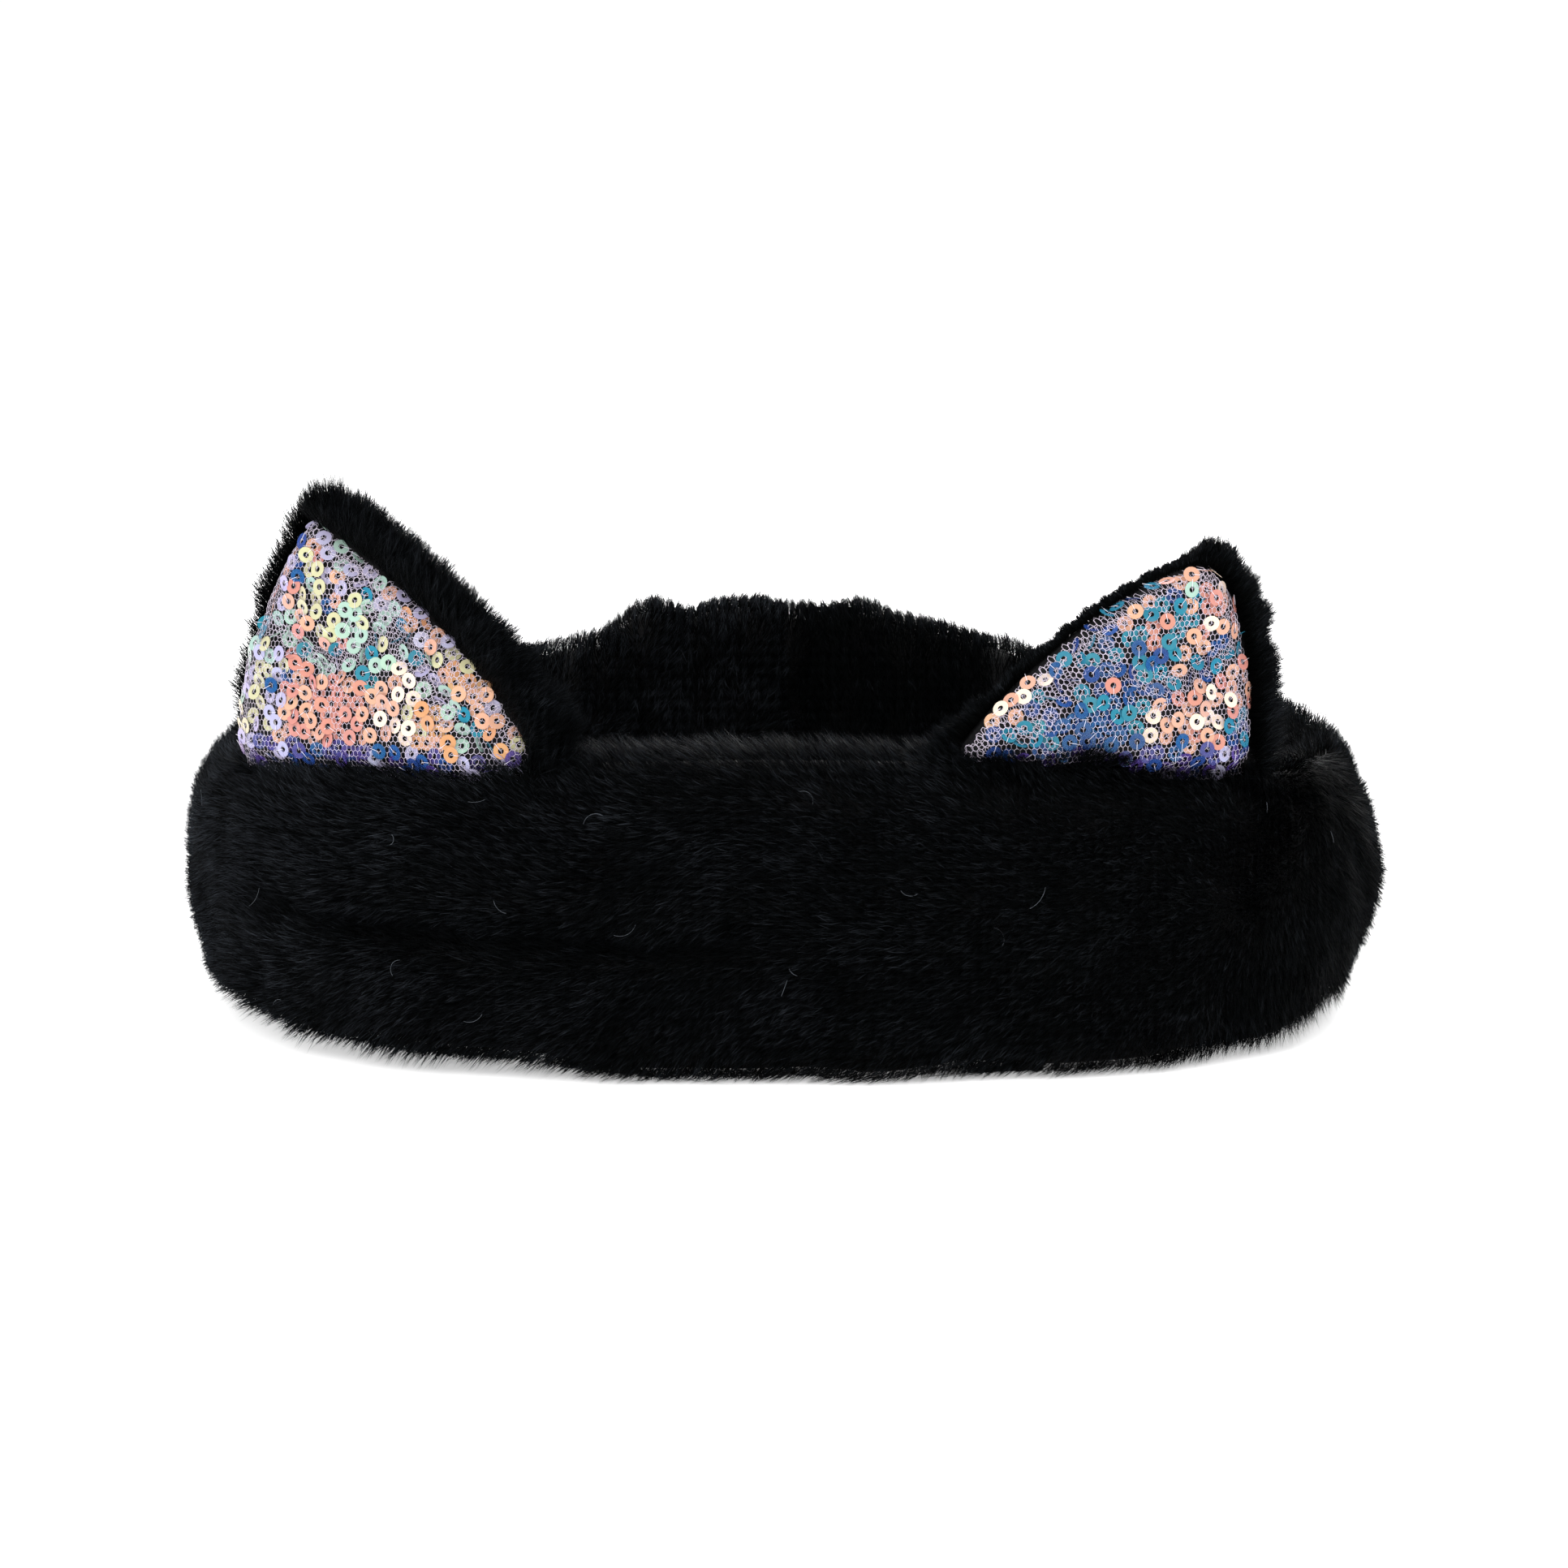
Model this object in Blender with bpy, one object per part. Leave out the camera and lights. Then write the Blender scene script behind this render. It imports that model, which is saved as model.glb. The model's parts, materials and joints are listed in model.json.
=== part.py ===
"""Plush cat-ear headband: a soft faux-fur ring with two padded ears faced in sequin net.

The ring is sewn from an outer and an inner faux-fur panel. The front, from side seam to
side seam, is padded with wadding. The rest is a fur casing gathered over a flat elastic,
so the back can be pulled away from the front. Each ear is a padded triangle: fur behind
and around the edge, black cloth and sequin net in front. It is sewn along its foot into
a trough in the top of the ring, and flops forward and back about that seam.

Units are metres, +Z is up, -Y is the front and the ring stands on z = 0.
"""

import math

import bmesh
import bpy
import numpy as np
from mathutils import Vector

# ---- ring -------------------------------------------------------------------------
RING_HALF_WIDTH = 0.107  # centre line, across the head
RING_HALF_DEPTH = 0.074  # centre line, front to back
RING_SQUARENESS = 2.6  # exponent of the plan curve: 2 is an ellipse
FRONT_HEIGHT = 0.059
SIDE_HEIGHT = 0.053
REAR_SHOULDER_HEIGHT = 0.057
REAR_HEIGHT = 0.070  # the gathers stand highest at the middle of the back
REAR_PLATEAU = 0.018  # half the length over which they do
FUR_THICKNESS = 0.009  # backing and pile
CORE_HALF_THICKNESS = 0.003  # half the space between the two furs
BOTTOM_ROUND = 0.007
CORE_CORNER = 0.0025  # how far the padding's edges taper
SIDE_SEAM_Y = 0.006  # the front panels end just behind the widest line
REAR_CASING_HALF_WIDTH = 0.045
STATION_STEP = 0.008

# ---- inside the ring --------------------------------------------------------------
GAP = 0.0003
ELASTIC_HEIGHT = 0.030
ELASTIC_THICKNESS = 0.0014
ELASTIC_TUCK = 0.010  # length sewn inside each end of the front
THREAD_RADIUS = 0.0004
SEAM_ALLOWANCE = 0.0016  # the seams lie this far inside the fur
WADDING_SETBACK = 0.0030  # the wadding's edge lies this far inside the fur
TACK_HEIGHT = 0.020
TACK_PITCH = 0.0040
TACK_WIDTH = 0.005

# ---- ears -------------------------------------------------------------------------
EAR_FOOT_RADIUS = 0.007
EAR_FOOT_RISE = 0.0005  # the hinge line stands this far above the ring's top
EAR_CLEARANCE = 0.0012  # between the foot and its trough
EAR_FLARE = math.radians(44)  # the trough opens this wide, so that the ear can flop
EAR_BORDER = 0.0045  # fur around the net
EAR_TIP_DEPTH = 0.0045  # half the ear's thickness at its tip
EAR_FUR_THICKNESS = 0.0055
STUFFING_MIN = 0.0010  # the fur gives way to this much stuffing at the tip
EAR_SECTION_POWER = 2.4
EAR_SHIFT_POWER = 1.2  # outline: how the tip moves outwards
EAR_LEVELS = 11
NET_THICKNESS = 0.0006
CLOTH_THICKNESS = 0.0006
NET_DOME = 0.30  # drop of the net at its sides, as a share of the ear's half thickness
NET_TOP_MARGIN = 0.0060
STITCH_PITCH = 0.0060
POCKET_REACH = 0.02  # how far the pocket's cutter stands out of the ear's face

# side: -1 is the wearer's right, left in a front view. The two soft ears sit and lean
# a little differently, so each has its own sizes.
EARS = {
    "ear_left": {
        "side": -1,
        "centre": 0.0725,  # distance of the foot's middle from the ring's middle line
        "width": 0.074,
        "height": 0.0460,  # hinge line to tip
        "tip_shift": 0.0160,
        "point": 1.5,  # how late the sides turn in
        "roundness": 0.92,  # how straight they run to the tip
    },
    "ear_right": {
        "side": 1,
        "centre": 0.0575,
        "width": 0.066,
        "height": 0.0375,
        "tip_shift": 0.0205,
        "point": 1.2,
        "roundness": 0.65,
    },
}

# ---- colours ----------------------------------------------------------------------
FUR_BLACK = (0.012, 0.014, 0.018, 1.0)
LINING_BLACK = (0.010, 0.011, 0.014, 1.0)
WADDING_WHITE = (0.82, 0.82, 0.80, 1.0)
ELASTIC_BLACK = (0.020, 0.020, 0.022, 1.0)
CLOTH_BLACK = (0.006, 0.006, 0.008, 1.0)
THREAD_BLACK = (0.015, 0.015, 0.018, 1.0)
NET_LILAC = (0.70, 0.66, 0.82, 1.0)


def material(name, colour, roughness):
    """Return a Principled material of one colour."""
    made = bpy.data.materials.new(name)
    made.use_nodes = True
    shader = made.node_tree.nodes["Principled BSDF"]
    shader.inputs["Base Color"].default_value = colour
    shader.inputs["Roughness"].default_value = roughness
    shader.inputs["Metallic"].default_value = 0.0
    return made


class RingPath:
    """The ring's centre line in plan, measured along its length from the front middle."""

    def __init__(self):
        angle = np.linspace(-math.pi / 2, math.pi / 2, 4001)
        power = 2.0 / RING_SQUARENESS
        cos, sin = np.cos(angle), np.sin(angle)
        self.x = RING_HALF_WIDTH * np.abs(cos) ** power
        self.y = RING_HALF_DEPTH * np.sign(sin) * np.abs(sin) ** power
        self.x[0] = 0.0
        self.x[-1] = 0.0
        steps = np.hypot(np.diff(self.x), np.diff(self.y))
        self.arc = np.concatenate([[0.0], np.cumsum(steps)])

    def at(self, arc):
        """Return the point and the outward unit normal at a signed arc length."""
        side = -1.0 if arc < 0 else 1.0
        x = float(np.interp(abs(arc), self.arc, self.x))
        y = float(np.interp(abs(arc), self.arc, self.y))
        rise = RING_SQUARENESS - 1.0
        nx = (x / RING_HALF_WIDTH) ** rise / RING_HALF_WIDTH
        ny = math.copysign(abs(y / RING_HALF_DEPTH) ** rise, y) / RING_HALF_DEPTH
        return Vector((side * x, y, 0.0)), Vector((side * nx, ny, 0.0)).normalized()

    def arc_at_y(self, y):
        """Return the arc length on the right side where the centre line has this y."""
        return float(np.interp(y, self.y, self.arc))

    def arc_at_rear_x(self, x):
        """Return the arc length on the rear half where the centre line has this x."""
        rear = self.y > 0
        return float(np.interp(-x, -self.x[rear], self.arc[rear]))

    def arc_at_front_x(self, x):
        """Return the arc length on the front half where the centre line has this x."""
        front = self.y < 0
        return float(np.interp(x, self.x[front], self.arc[front]))


BAND_HALF = FUR_THICKNESS + CORE_HALF_THICKNESS
TROUGH_RADIUS = EAR_FOOT_RADIUS + EAR_CLEARANCE
RING = RingPath()
SIDE_ARC = RING.arc_at_y(SIDE_SEAM_Y)
REAR_ARC = RING.arc_at_rear_x(REAR_CASING_HALF_WIDTH)
FULL_ARC = float(RING.arc[-1])
WADDING_END = SIDE_ARC - ELASTIC_TUCK - GAP
LAYERS_DEPTH = NET_THICKNESS + CLOTH_THICKNESS + 2 * GAP  # net and cloth, with their gaps


def wrap(arc):
    """Bring an arc length past the middle of the back into the ring's own range."""
    return arc - 2 * FULL_ARC if arc > FULL_ARC else arc


def blend(start, end, share):
    """Ease from start to end as share goes from 0 to 1."""
    share = min(max(share, 0.0), 1.0)
    return start + (end - start) * share * share * (3.0 - 2.0 * share)


def band_height(arc):
    """Return the ring's height at an arc length from the front middle."""
    arc = abs(arc)
    if arc < SIDE_ARC:
        return blend(FRONT_HEIGHT, SIDE_HEIGHT, arc / SIDE_ARC)
    if arc < REAR_ARC:
        share = (arc - SIDE_ARC) / (REAR_ARC - SIDE_ARC)
        return blend(SIDE_HEIGHT, REAR_SHOULDER_HEIGHT, share)
    share = (arc - REAR_ARC) / (FULL_ARC - REAR_PLATEAU - REAR_ARC)
    return blend(REAR_SHOULDER_HEIGHT, REAR_HEIGHT, share)


def core_top(arc):
    """Return the top of the space between the furs, lower under an ear's trough."""
    top = band_height(arc) - FUR_THICKNESS
    for sizes in EARS.values():
        middle = sizes["side"] * RING.arc_at_front_x(sizes["centre"])
        reach = sizes["width"] / 2 + EAR_CLEARANCE + STATION_STEP
        if abs(arc - middle) < reach:
            top = min(top, band_height(middle) + EAR_FOOT_RISE - TROUGH_RADIUS - GAP)
    return top


def arc_points(centre, radius, start, end, count):
    """Return points along a circular arc, angles in degrees."""
    angles = [math.radians(start + (end - start) * i / count) for i in range(count + 1)]
    return [(centre[0] + radius * math.cos(a), centre[1] + radius * math.sin(a)) for a in angles]


def fur_section(arc):
    """Return the outer fur's section: (distance outwards, height) points, clockwise."""
    height = band_height(arc)
    half = BAND_HALF
    core = CORE_HALF_THICKNESS
    seam = GAP / 2
    crown = arc_points((0.0, height - half), half, 84, 0, 5)
    hem = arc_points((half - BOTTOM_ROUND, BOTTOM_ROUND), BOTTOM_ROUND, 0, -90, 3)
    low = FUR_THICKNESS
    high = height - FUR_THICKNESS
    inside = [
        (seam, low),
        (core, low + CORE_CORNER),
        (core, high - CORE_CORNER),
        (seam, high),
    ]
    return [(seam, height), *crown, *hem, (seam, 0.0), *inside]


def wadding_section(arc):
    """Return the wadding's section, a flat pad with tapered edges."""
    half = CORE_HALF_THICKNESS - GAP
    low = FUR_THICKNESS + WADDING_SETBACK
    high = core_top(arc) - WADDING_SETBACK
    edge = half * 0.4
    return [
        (edge, high),
        (half, high - CORE_CORNER),
        (half, low + CORE_CORNER),
        (edge, low),
        (-edge, low),
        (-half, low + CORE_CORNER),
        (-half, high - CORE_CORNER),
        (-edge, high),
    ]


def elastic_section(_arc):
    """Return the flat elastic's section, level all the way round."""
    half = ELASTIC_THICKNESS / 2
    low = SIDE_HEIGHT / 2 - ELASTIC_HEIGHT / 2
    high = SIDE_HEIGHT / 2 + ELASTIC_HEIGHT / 2
    return [(half, high), (half, low), (-half, low), (-half, high)]


def mesh_object(name, bm, made_of, smooth=True):
    """Turn a bmesh into a named object in the model's collection."""
    bmesh.ops.recalc_face_normals(bm, faces=bm.faces)
    mesh = bpy.data.meshes.new(name)
    bm.to_mesh(mesh)
    bm.free()
    if smooth:
        mesh.shade_smooth()
        mesh.set_sharp_from_angle(angle=math.radians(50))
    mesh.materials.append(made_of)
    made = bpy.data.objects.new(name, mesh)
    MODEL.objects.link(made)
    return made


def loft(sections):
    """Join closed loops of equal length into one closed body with flat ends."""
    bm = bmesh.new()
    loops = [[bm.verts.new(point) for point in section] for section in sections]
    for near, far in zip(loops, loops[1:]):
        for i in range(len(near)):
            j = (i + 1) % len(near)
            bm.faces.new((near[i], near[j], far[j], far[i]))
    ends = [bm.faces.new(loops[0]), bm.faces.new(loops[-1])]
    bmesh.ops.triangulate(bm, faces=ends)
    return bm


def stations(start, end):
    """Return evenly spaced arc lengths from start to end."""
    count = max(2, round(abs(end - start) / STATION_STEP))
    return [start + (end - start) * i / count for i in range(count + 1)]


def ring_loft(name, section, side, start, end, made_of):
    """Sweep a section along the ring; side -1 mirrors it to the inner face."""
    loops = []
    for station in stations(start, end):
        arc = wrap(station)
        point, normal = RING.at(arc)
        rise = Vector((0.0, 0.0, 1.0))
        loops.append([point + normal * (side * out) + rise * up for out, up in section(arc)])
    return mesh_object(name, loft(loops), made_of)


def thread(name, points, parent=None):
    """Make a sewing thread: a thin round tube through the points."""
    curve = bpy.data.curves.new(name, "CURVE")
    curve.dimensions = "3D"
    curve.bevel_depth = THREAD_RADIUS
    curve.bevel_resolution = 1
    curve.use_fill_caps = True
    spline = curve.splines.new("POLY")
    spline.points.add(len(points) - 1)
    for target, point in zip(spline.points, points):
        target.co = (*point, 1.0)
    curve.materials.append(THREAD)
    made = bpy.data.objects.new(name, curve)
    MODEL.objects.link(made)
    made.parent = parent
    return made


def seam_thread(name, height_of):
    """Make the thread of a front seam, at the height that a rule gives for an arc."""
    points = []
    for arc in stations(-WADDING_END, WADDING_END):
        point, _ = RING.at(arc)
        points.append((point.x, point.y, height_of(arc)))
    return thread(name, points)


def elastic_tack(name, side):
    """Make the zigzag that holds an end of the elastic inside the front."""
    arc = side * (SIDE_ARC - ELASTIC_TUCK / 2)
    point, normal = RING.at(arc)
    along = Vector((-normal.y, normal.x, 0.0))
    lift = ELASTIC_THICKNESS / 2 + GAP + THREAD_RADIUS
    middle = band_height(arc) / 2
    turns = round(TACK_HEIGHT / TACK_PITCH)
    points = []
    for i in range(turns + 1):
        sway = TACK_WIDTH / 2 if i % 2 else -TACK_WIDTH / 2
        rise = middle - TACK_HEIGHT / 2 + TACK_HEIGHT * i / turns
        points.append(point + normal * lift + along * sway + Vector((0.0, 0.0, rise)))
    return thread(name, points)


class Ear:
    """One ear, built on its foot's hinge line: x runs outwards along the foot, -y is
    the face and z is up. Its empty carries it to its place on the ring."""

    def __init__(self, name, sizes):
        self.name = name
        self.side = sizes["side"]
        self.width = sizes["width"]
        self.height = sizes["height"]
        self.tip_shift = sizes["tip_shift"]
        self.point = sizes["point"]
        self.roundness = sizes["roundness"]
        arc = self.side * RING.arc_at_front_x(sizes["centre"])
        middle = RING.at(arc)[0]
        ends = [RING.at(arc + step * self.width / 2)[0] for step in (-1, 1)]
        chord = (ends[1] - ends[0]).normalized()
        seat = (middle + (ends[0] + ends[1]) / 2) / 2
        lift = band_height(arc) + EAR_FOOT_RISE
        peak = max(band_height(arc + step * self.width / 2) for step in (-1, 1))
        self.bank = peak - band_height(arc)  # the ring's rise towards an end of the foot
        self.empty = bpy.data.objects.new(name + "_hinge", None)
        self.empty.empty_display_size = 0.02
        self.empty.location = (seat.x, seat.y, lift)
        self.empty.rotation_euler = (0.0, 0.0, math.atan2(chord.y, chord.x))
        MODEL.objects.link(self.empty)

    def outline(self, level, inset):
        """Return the middle and the half width of the outline at a height."""
        share = min(max(level / (self.height - inset), 0.0), 1.0)
        half = (self.width / 2 - inset) * (1.0 - share**self.point) ** self.roundness
        lean = (max(level, 0.0) / self.height) ** EAR_SHIFT_POWER
        return self.side * self.tip_shift * lean, half

    def depth(self, level):
        """Return the ear's half thickness at a height; the foot is a half cylinder."""
        if level < 0:
            return math.sqrt(max(EAR_FOOT_RADIUS**2 - level**2, 0.0))
        return EAR_FOOT_RADIUS + (EAR_TIP_DEPTH - EAR_FOOT_RADIUS) * level / self.height

    def body(self):
        """Return the whole ear's outer shape, foot to tip."""
        foot = [-EAR_FOOT_RADIUS * math.cos(math.radians(a)) for a in (8, 30, 50, 70)]
        shares = [math.sin(math.pi / 2 * i / EAR_LEVELS) for i in range(EAR_LEVELS)]
        tip = 0.995
        loops = []
        for level in foot + [self.height * share for share in shares] + [self.height * tip]:
            middle, half = self.outline(level, 0.0)
            loops.append(self.rounded_loop(level, middle, half, self.depth(level)))
        return loft(loops)

    def rounded_loop(self, level, middle, half, depth):
        """Return a lens-like loop of the ear's section at a height."""
        power = 2.0 / EAR_SECTION_POWER
        loop = []
        for i in range(16):
            angle = 2 * math.pi * i / 16
            cos, sin = math.cos(angle), math.sin(angle)
            along = math.copysign(abs(cos) ** power, cos) * half
            through = math.copysign(abs(sin) ** power, sin) * depth
            loop.append((middle + along, through, level))
        return loop

    def front(self, level, along, reach):
        """Return how far the net's outer face stands forward at a point."""
        return self.depth(level) * (1.0 - NET_DOME * (along / reach) ** 2)

    def layer(self, bottom, margin, front_drop, back):
        """Return a closed layer that fits in the fur's opening.

        front_drop is how far its front lies behind the net's outer face; back gives
        the y of its back at a height and a front, so that layers can be thin or full.
        """
        inset = EAR_BORDER + margin
        top = self.height - NET_TOP_MARGIN - margin
        columns = 8
        loops = []
        for i in range(EAR_LEVELS):
            level = bottom + (top - bottom) * math.sin(math.pi / 2 * i / (EAR_LEVELS - 1))
            middle, reach = self.outline(level, EAR_BORDER)
            half = self.outline(level, inset)[1]
            spans = [half * (2 * j / columns - 1) for j in range(columns + 1)]
            faces = [self.front(level, along, reach) - front_drop for along in spans]
            front = [(middle + a, -f, level) for a, f in zip(spans, faces)]
            rear = [(middle + a, back(level, f), level) for a, f in zip(spans, faces)]
            loops.append(front + rear[::-1])
        return loft(loops)

    def place(self, made):
        """Hang a node on the ear's hinge."""
        made.parent = self.empty
        return made

    def pocket_back(self, level, _face=0.0):
        """Return the y of the back of the pocket in the fur at a height."""
        depth = self.depth(level)
        needed = LAYERS_DEPTH + STUFFING_MIN + GAP - depth * (1.0 - NET_DOME)
        return max(depth - EAR_FUR_THICKNESS, needed)

    def build(self):
        """Make the ear's own pieces: the fur with its pocket, and what fills it."""
        pocket = self.layer(GAP, 0.0, -POCKET_REACH, self.pocket_back)
        pocket = self.place(cutter(mesh_object(self.name + "_pocket", pocket, FUR)))
        fur = self.place(mesh_object(self.name + "_fur_back", self.body(), FUR))
        cut(fur, pocket)

        net = self.layer(2 * GAP, GAP, 0.0, lambda _level, face: NET_THICKNESS - face)
        self.place(mesh_object(self.name + "_sequin_net", net, NET))
        drop = NET_THICKNESS + GAP
        cloth = self.layer(2 * GAP, GAP, drop, lambda _level, face: CLOTH_THICKNESS - face)
        self.place(mesh_object(self.name + "_backing_cloth", cloth, CLOTH))
        stuffing = self.layer(
            2 * GAP, GAP, LAYERS_DEPTH, lambda level, _face: self.pocket_back(level) - GAP
        )
        self.place(mesh_object(self.name + "_stuffing", stuffing, WADDING))

    def trough(self):
        """Return the cutter of the seat that the foot turns in."""
        half = self.width / 2 + EAR_CLEARANCE
        flare = math.degrees(EAR_FLARE)
        arc = arc_points((0.0, 0.0), TROUGH_RADIUS, -flare, flare - 180, 8)
        rise = 2.0 * EAR_FOOT_RADIUS + self.bank / math.cos(EAR_FLARE)
        wing = Vector((math.sin(EAR_FLARE), math.cos(EAR_FLARE))) * rise
        ends = [(arc[0][0] + wing.x, arc[0][1] + wing.y), (arc[-1][0] - wing.x, arc[-1][1] + wing.y)]
        outline = [ends[0], *arc, ends[1]]
        loops = [[(x, y, z) for y, z in outline] for x in (-half, half)]
        return self.place(cutter(mesh_object(self.name + "_trough", loft(loops), FUR, smooth=False)))

    def stitches(self):
        """Make the thread that sews the foot to the ring, under the foot."""
        drop = EAR_FOOT_RADIUS + EAR_CLEARANCE / 2
        reach = self.width / 2 - STITCH_PITCH
        count = max(2, round(2 * reach / STITCH_PITCH))
        points = []
        for i in range(count + 1):
            points.append((-reach + 2 * reach * i / count, 0.0, -drop))
        return thread(self.name + "_base_stitches", points, self.empty)


def cutter(made):
    """Move an object to the cutters, which aren't part of the model."""
    MODEL.objects.unlink(made)
    CUTTERS.objects.link(made)
    made.hide_render = True
    made.display_type = "WIRE"
    return made


def cut(target, tool):
    """Cut one object by another with a modifier."""
    modifier = target.modifiers.new("cut_" + tool.name, "BOOLEAN")
    modifier.operation = "DIFFERENCE"
    modifier.solver = "EXACT"
    modifier.object = tool


for old in list(bpy.data.objects):
    bpy.data.objects.remove(old, do_unlink=True)

MODEL = bpy.data.collections.new("cat_ear_headband")
CUTTERS = bpy.data.collections.new("cutters")
bpy.context.scene.collection.children.link(MODEL)
bpy.context.scene.collection.children.link(CUTTERS)

FUR = material("black_faux_fur", FUR_BLACK, 0.9)
LINING = material("black_lining_fur", LINING_BLACK, 0.9)
WADDING = material("white_wadding", WADDING_WHITE, 0.9)
ELASTIC = material("black_elastic", ELASTIC_BLACK, 0.8)
CLOTH = material("black_backing_cloth", CLOTH_BLACK, 0.85)
NET = material("iridescent_sequin_net", NET_LILAC, 0.35)
THREAD = material("black_thread", THREAD_BLACK, 0.7)

# The two furs run round the ring in four lengths each: the padded front, the gathered
# sides and the middle of the back, which meet with the usual small gap.
LENGTHS = {
    "front": (-SIDE_ARC, SIDE_ARC),
    "left_gathers": (-SIDE_ARC - GAP, -REAR_ARC + GAP),
    "right_gathers": (SIDE_ARC + GAP, REAR_ARC - GAP),
    "rear_casing": (REAR_ARC, 2 * FULL_ARC - REAR_ARC),
}


front_outer = ring_loft("front_outer_panel", fur_section, 1, *LENGTHS["front"], FUR)
front_inner = ring_loft("front_inner_panel", fur_section, -1, *LENGTHS["front"], LINING)
for length in ("left_gathers", "right_gathers", "rear_casing"):
    ring_loft(length + "_outer", fur_section, 1, *LENGTHS[length], FUR)
    ring_loft(length + "_inner", fur_section, -1, *LENGTHS[length], LINING)

ring_loft("front_wadding", wadding_section, 1, -WADDING_END, WADDING_END, WADDING)
ELASTIC_START = WADDING_END + 2 * GAP
ring_loft("rear_elastic", elastic_section, 1, ELASTIC_START, 2 * FULL_ARC - ELASTIC_START, ELASTIC)
elastic_tack("elastic_tack_left", -1)
elastic_tack("elastic_tack_right", 1)
seam_thread("front_top_seam_thread", lambda arc: core_top(arc) - SEAM_ALLOWANCE)
seam_thread("front_bottom_seam_thread", lambda arc: FUR_THICKNESS + SEAM_ALLOWANCE)

for ear_name, ear_sizes in EARS.items():
    ear = Ear(ear_name, ear_sizes)
    ear.build()
    ear.stitches()
    seat = ear.trough()
    cut(front_outer, seat)
    cut(front_inner, seat)
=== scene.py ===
"""Plush cat-ear headband: black faux fur, sequin net ears, gathered elastic back."""

from __future__ import annotations

import json
import logging
import math
from collections.abc import Callable
from dataclasses import dataclass
from enum import Enum

import bmesh
import bpy
import numpy as np
from mathutils import Matrix, Vector


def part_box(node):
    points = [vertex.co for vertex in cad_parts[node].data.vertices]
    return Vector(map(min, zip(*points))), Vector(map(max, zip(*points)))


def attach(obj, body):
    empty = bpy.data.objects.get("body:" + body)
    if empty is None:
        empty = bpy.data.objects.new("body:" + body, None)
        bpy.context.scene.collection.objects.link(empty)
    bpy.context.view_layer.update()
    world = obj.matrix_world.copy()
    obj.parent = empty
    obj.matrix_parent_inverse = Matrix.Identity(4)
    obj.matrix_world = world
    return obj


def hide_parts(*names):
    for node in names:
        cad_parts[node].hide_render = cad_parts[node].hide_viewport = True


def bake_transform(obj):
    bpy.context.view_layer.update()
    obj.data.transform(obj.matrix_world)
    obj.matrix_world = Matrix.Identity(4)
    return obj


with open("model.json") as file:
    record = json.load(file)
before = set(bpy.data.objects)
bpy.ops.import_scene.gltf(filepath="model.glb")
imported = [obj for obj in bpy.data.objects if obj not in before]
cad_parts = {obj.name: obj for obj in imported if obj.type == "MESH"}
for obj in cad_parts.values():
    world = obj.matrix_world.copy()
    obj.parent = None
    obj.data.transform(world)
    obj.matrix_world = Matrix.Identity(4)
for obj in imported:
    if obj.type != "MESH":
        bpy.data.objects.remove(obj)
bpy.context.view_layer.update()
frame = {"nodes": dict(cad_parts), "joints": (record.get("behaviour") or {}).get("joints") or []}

UP = np.array([0.0, 0.0, 1.0])
PIECE_STRANDS = 95000  # two triangles each, so a piece of pile stays under 200,000
LOG = logging.getLogger("headband")


# ---- sizes ------------------------------------------------------------------------
@dataclass(frozen=True)
class RingSizes:
    """The ring's driving sizes in metres; the outer ones come from the frame."""

    half_width: float
    half_depth: float
    front_height: float
    rear_height: float
    side_height: float = 0.053
    rear_shoulder: float = 0.0625
    squareness: float = 2.6
    band_half: float = 0.012
    pile: float = 0.0042
    sole: float = 0.0014
    front_rise: float = 0.0022
    hem_radius: float = 0.0050
    side_seam_y: float = 0.006
    rear_casing_half_width: float = 0.045
    hump_centre: float = -0.008
    hump_flat: float = 0.018

    @staticmethod
    def from_frame() -> RingSizes:
        """Return the ring's sizes, with the outer ones read off the CAD panels.

        Returns:
            The sizes.
        """
        low, high = (Vector(corner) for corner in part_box("front_outer_panel"))
        rear = Vector(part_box("rear_casing_outer")[1])
        half = RingSizes.band_half
        return RingSizes(
            half_width=(high.x - low.x) / 2 - half,
            half_depth=rear.y - half,
            front_height=high.z,
            rear_height=rear.z + 0.0010,
        )


@dataclass(frozen=True)
class EarSizes:
    """One ear's sizes in metres, about the hinge line of its foot."""

    name: str
    side: int
    width: float
    height: float
    tip_shift: float
    roundness: float
    point: float
    skin_inset: float
    pile_length: float
    net_shift: float
    fur_shift: float
    worn: float = 0.0
    buried: float = 0.0
    border: float = 0.0052
    foot_radius: float = 0.007
    tip_depth: float = 0.0045
    shift_power: float = 1.2
    section_power: float = 2.4
    cloth_foot: float = -0.0055
    cell_width: float = 0.00094
    cell_height: float = 0.00130
    net_thread: float = 0.00011


EARS = (
    EarSizes("ear_left", -1, 0.074, 0.0460, 0.0160, 0.92, 1.5, 0.0030, 0.0076, -0.0017, 0.0003),
    EarSizes(
        "ear_right", 1, 0.066, 0.0375, 0.0205, 0.65, 1.2, 0.0036, 0.0064, 0.0006, 0.0018,
        worn=0.55, buried=0.0046,
    ),
)


class Face(Enum):
    """The two faces of the ring."""

    OUTER = 1
    INNER = -1


# ---- finishes ---------------------------------------------------------------------
def linear(code: str) -> tuple[float, float, float, float]:
    """Turn an sRGB hex colour into linear RGBA.

    Args:
        code: Six hex digits.

    Returns:
        The colour in linear light, with alpha 1.
    """
    parts = [int(code[i : i + 2], 16) / 255 for i in (0, 2, 4)]
    r, g, b = (c / 12.92 if c <= 0.04045 else ((c + 0.055) / 1.055) ** 2.4 for c in parts)
    return (r, g, b, 1.0)


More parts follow.
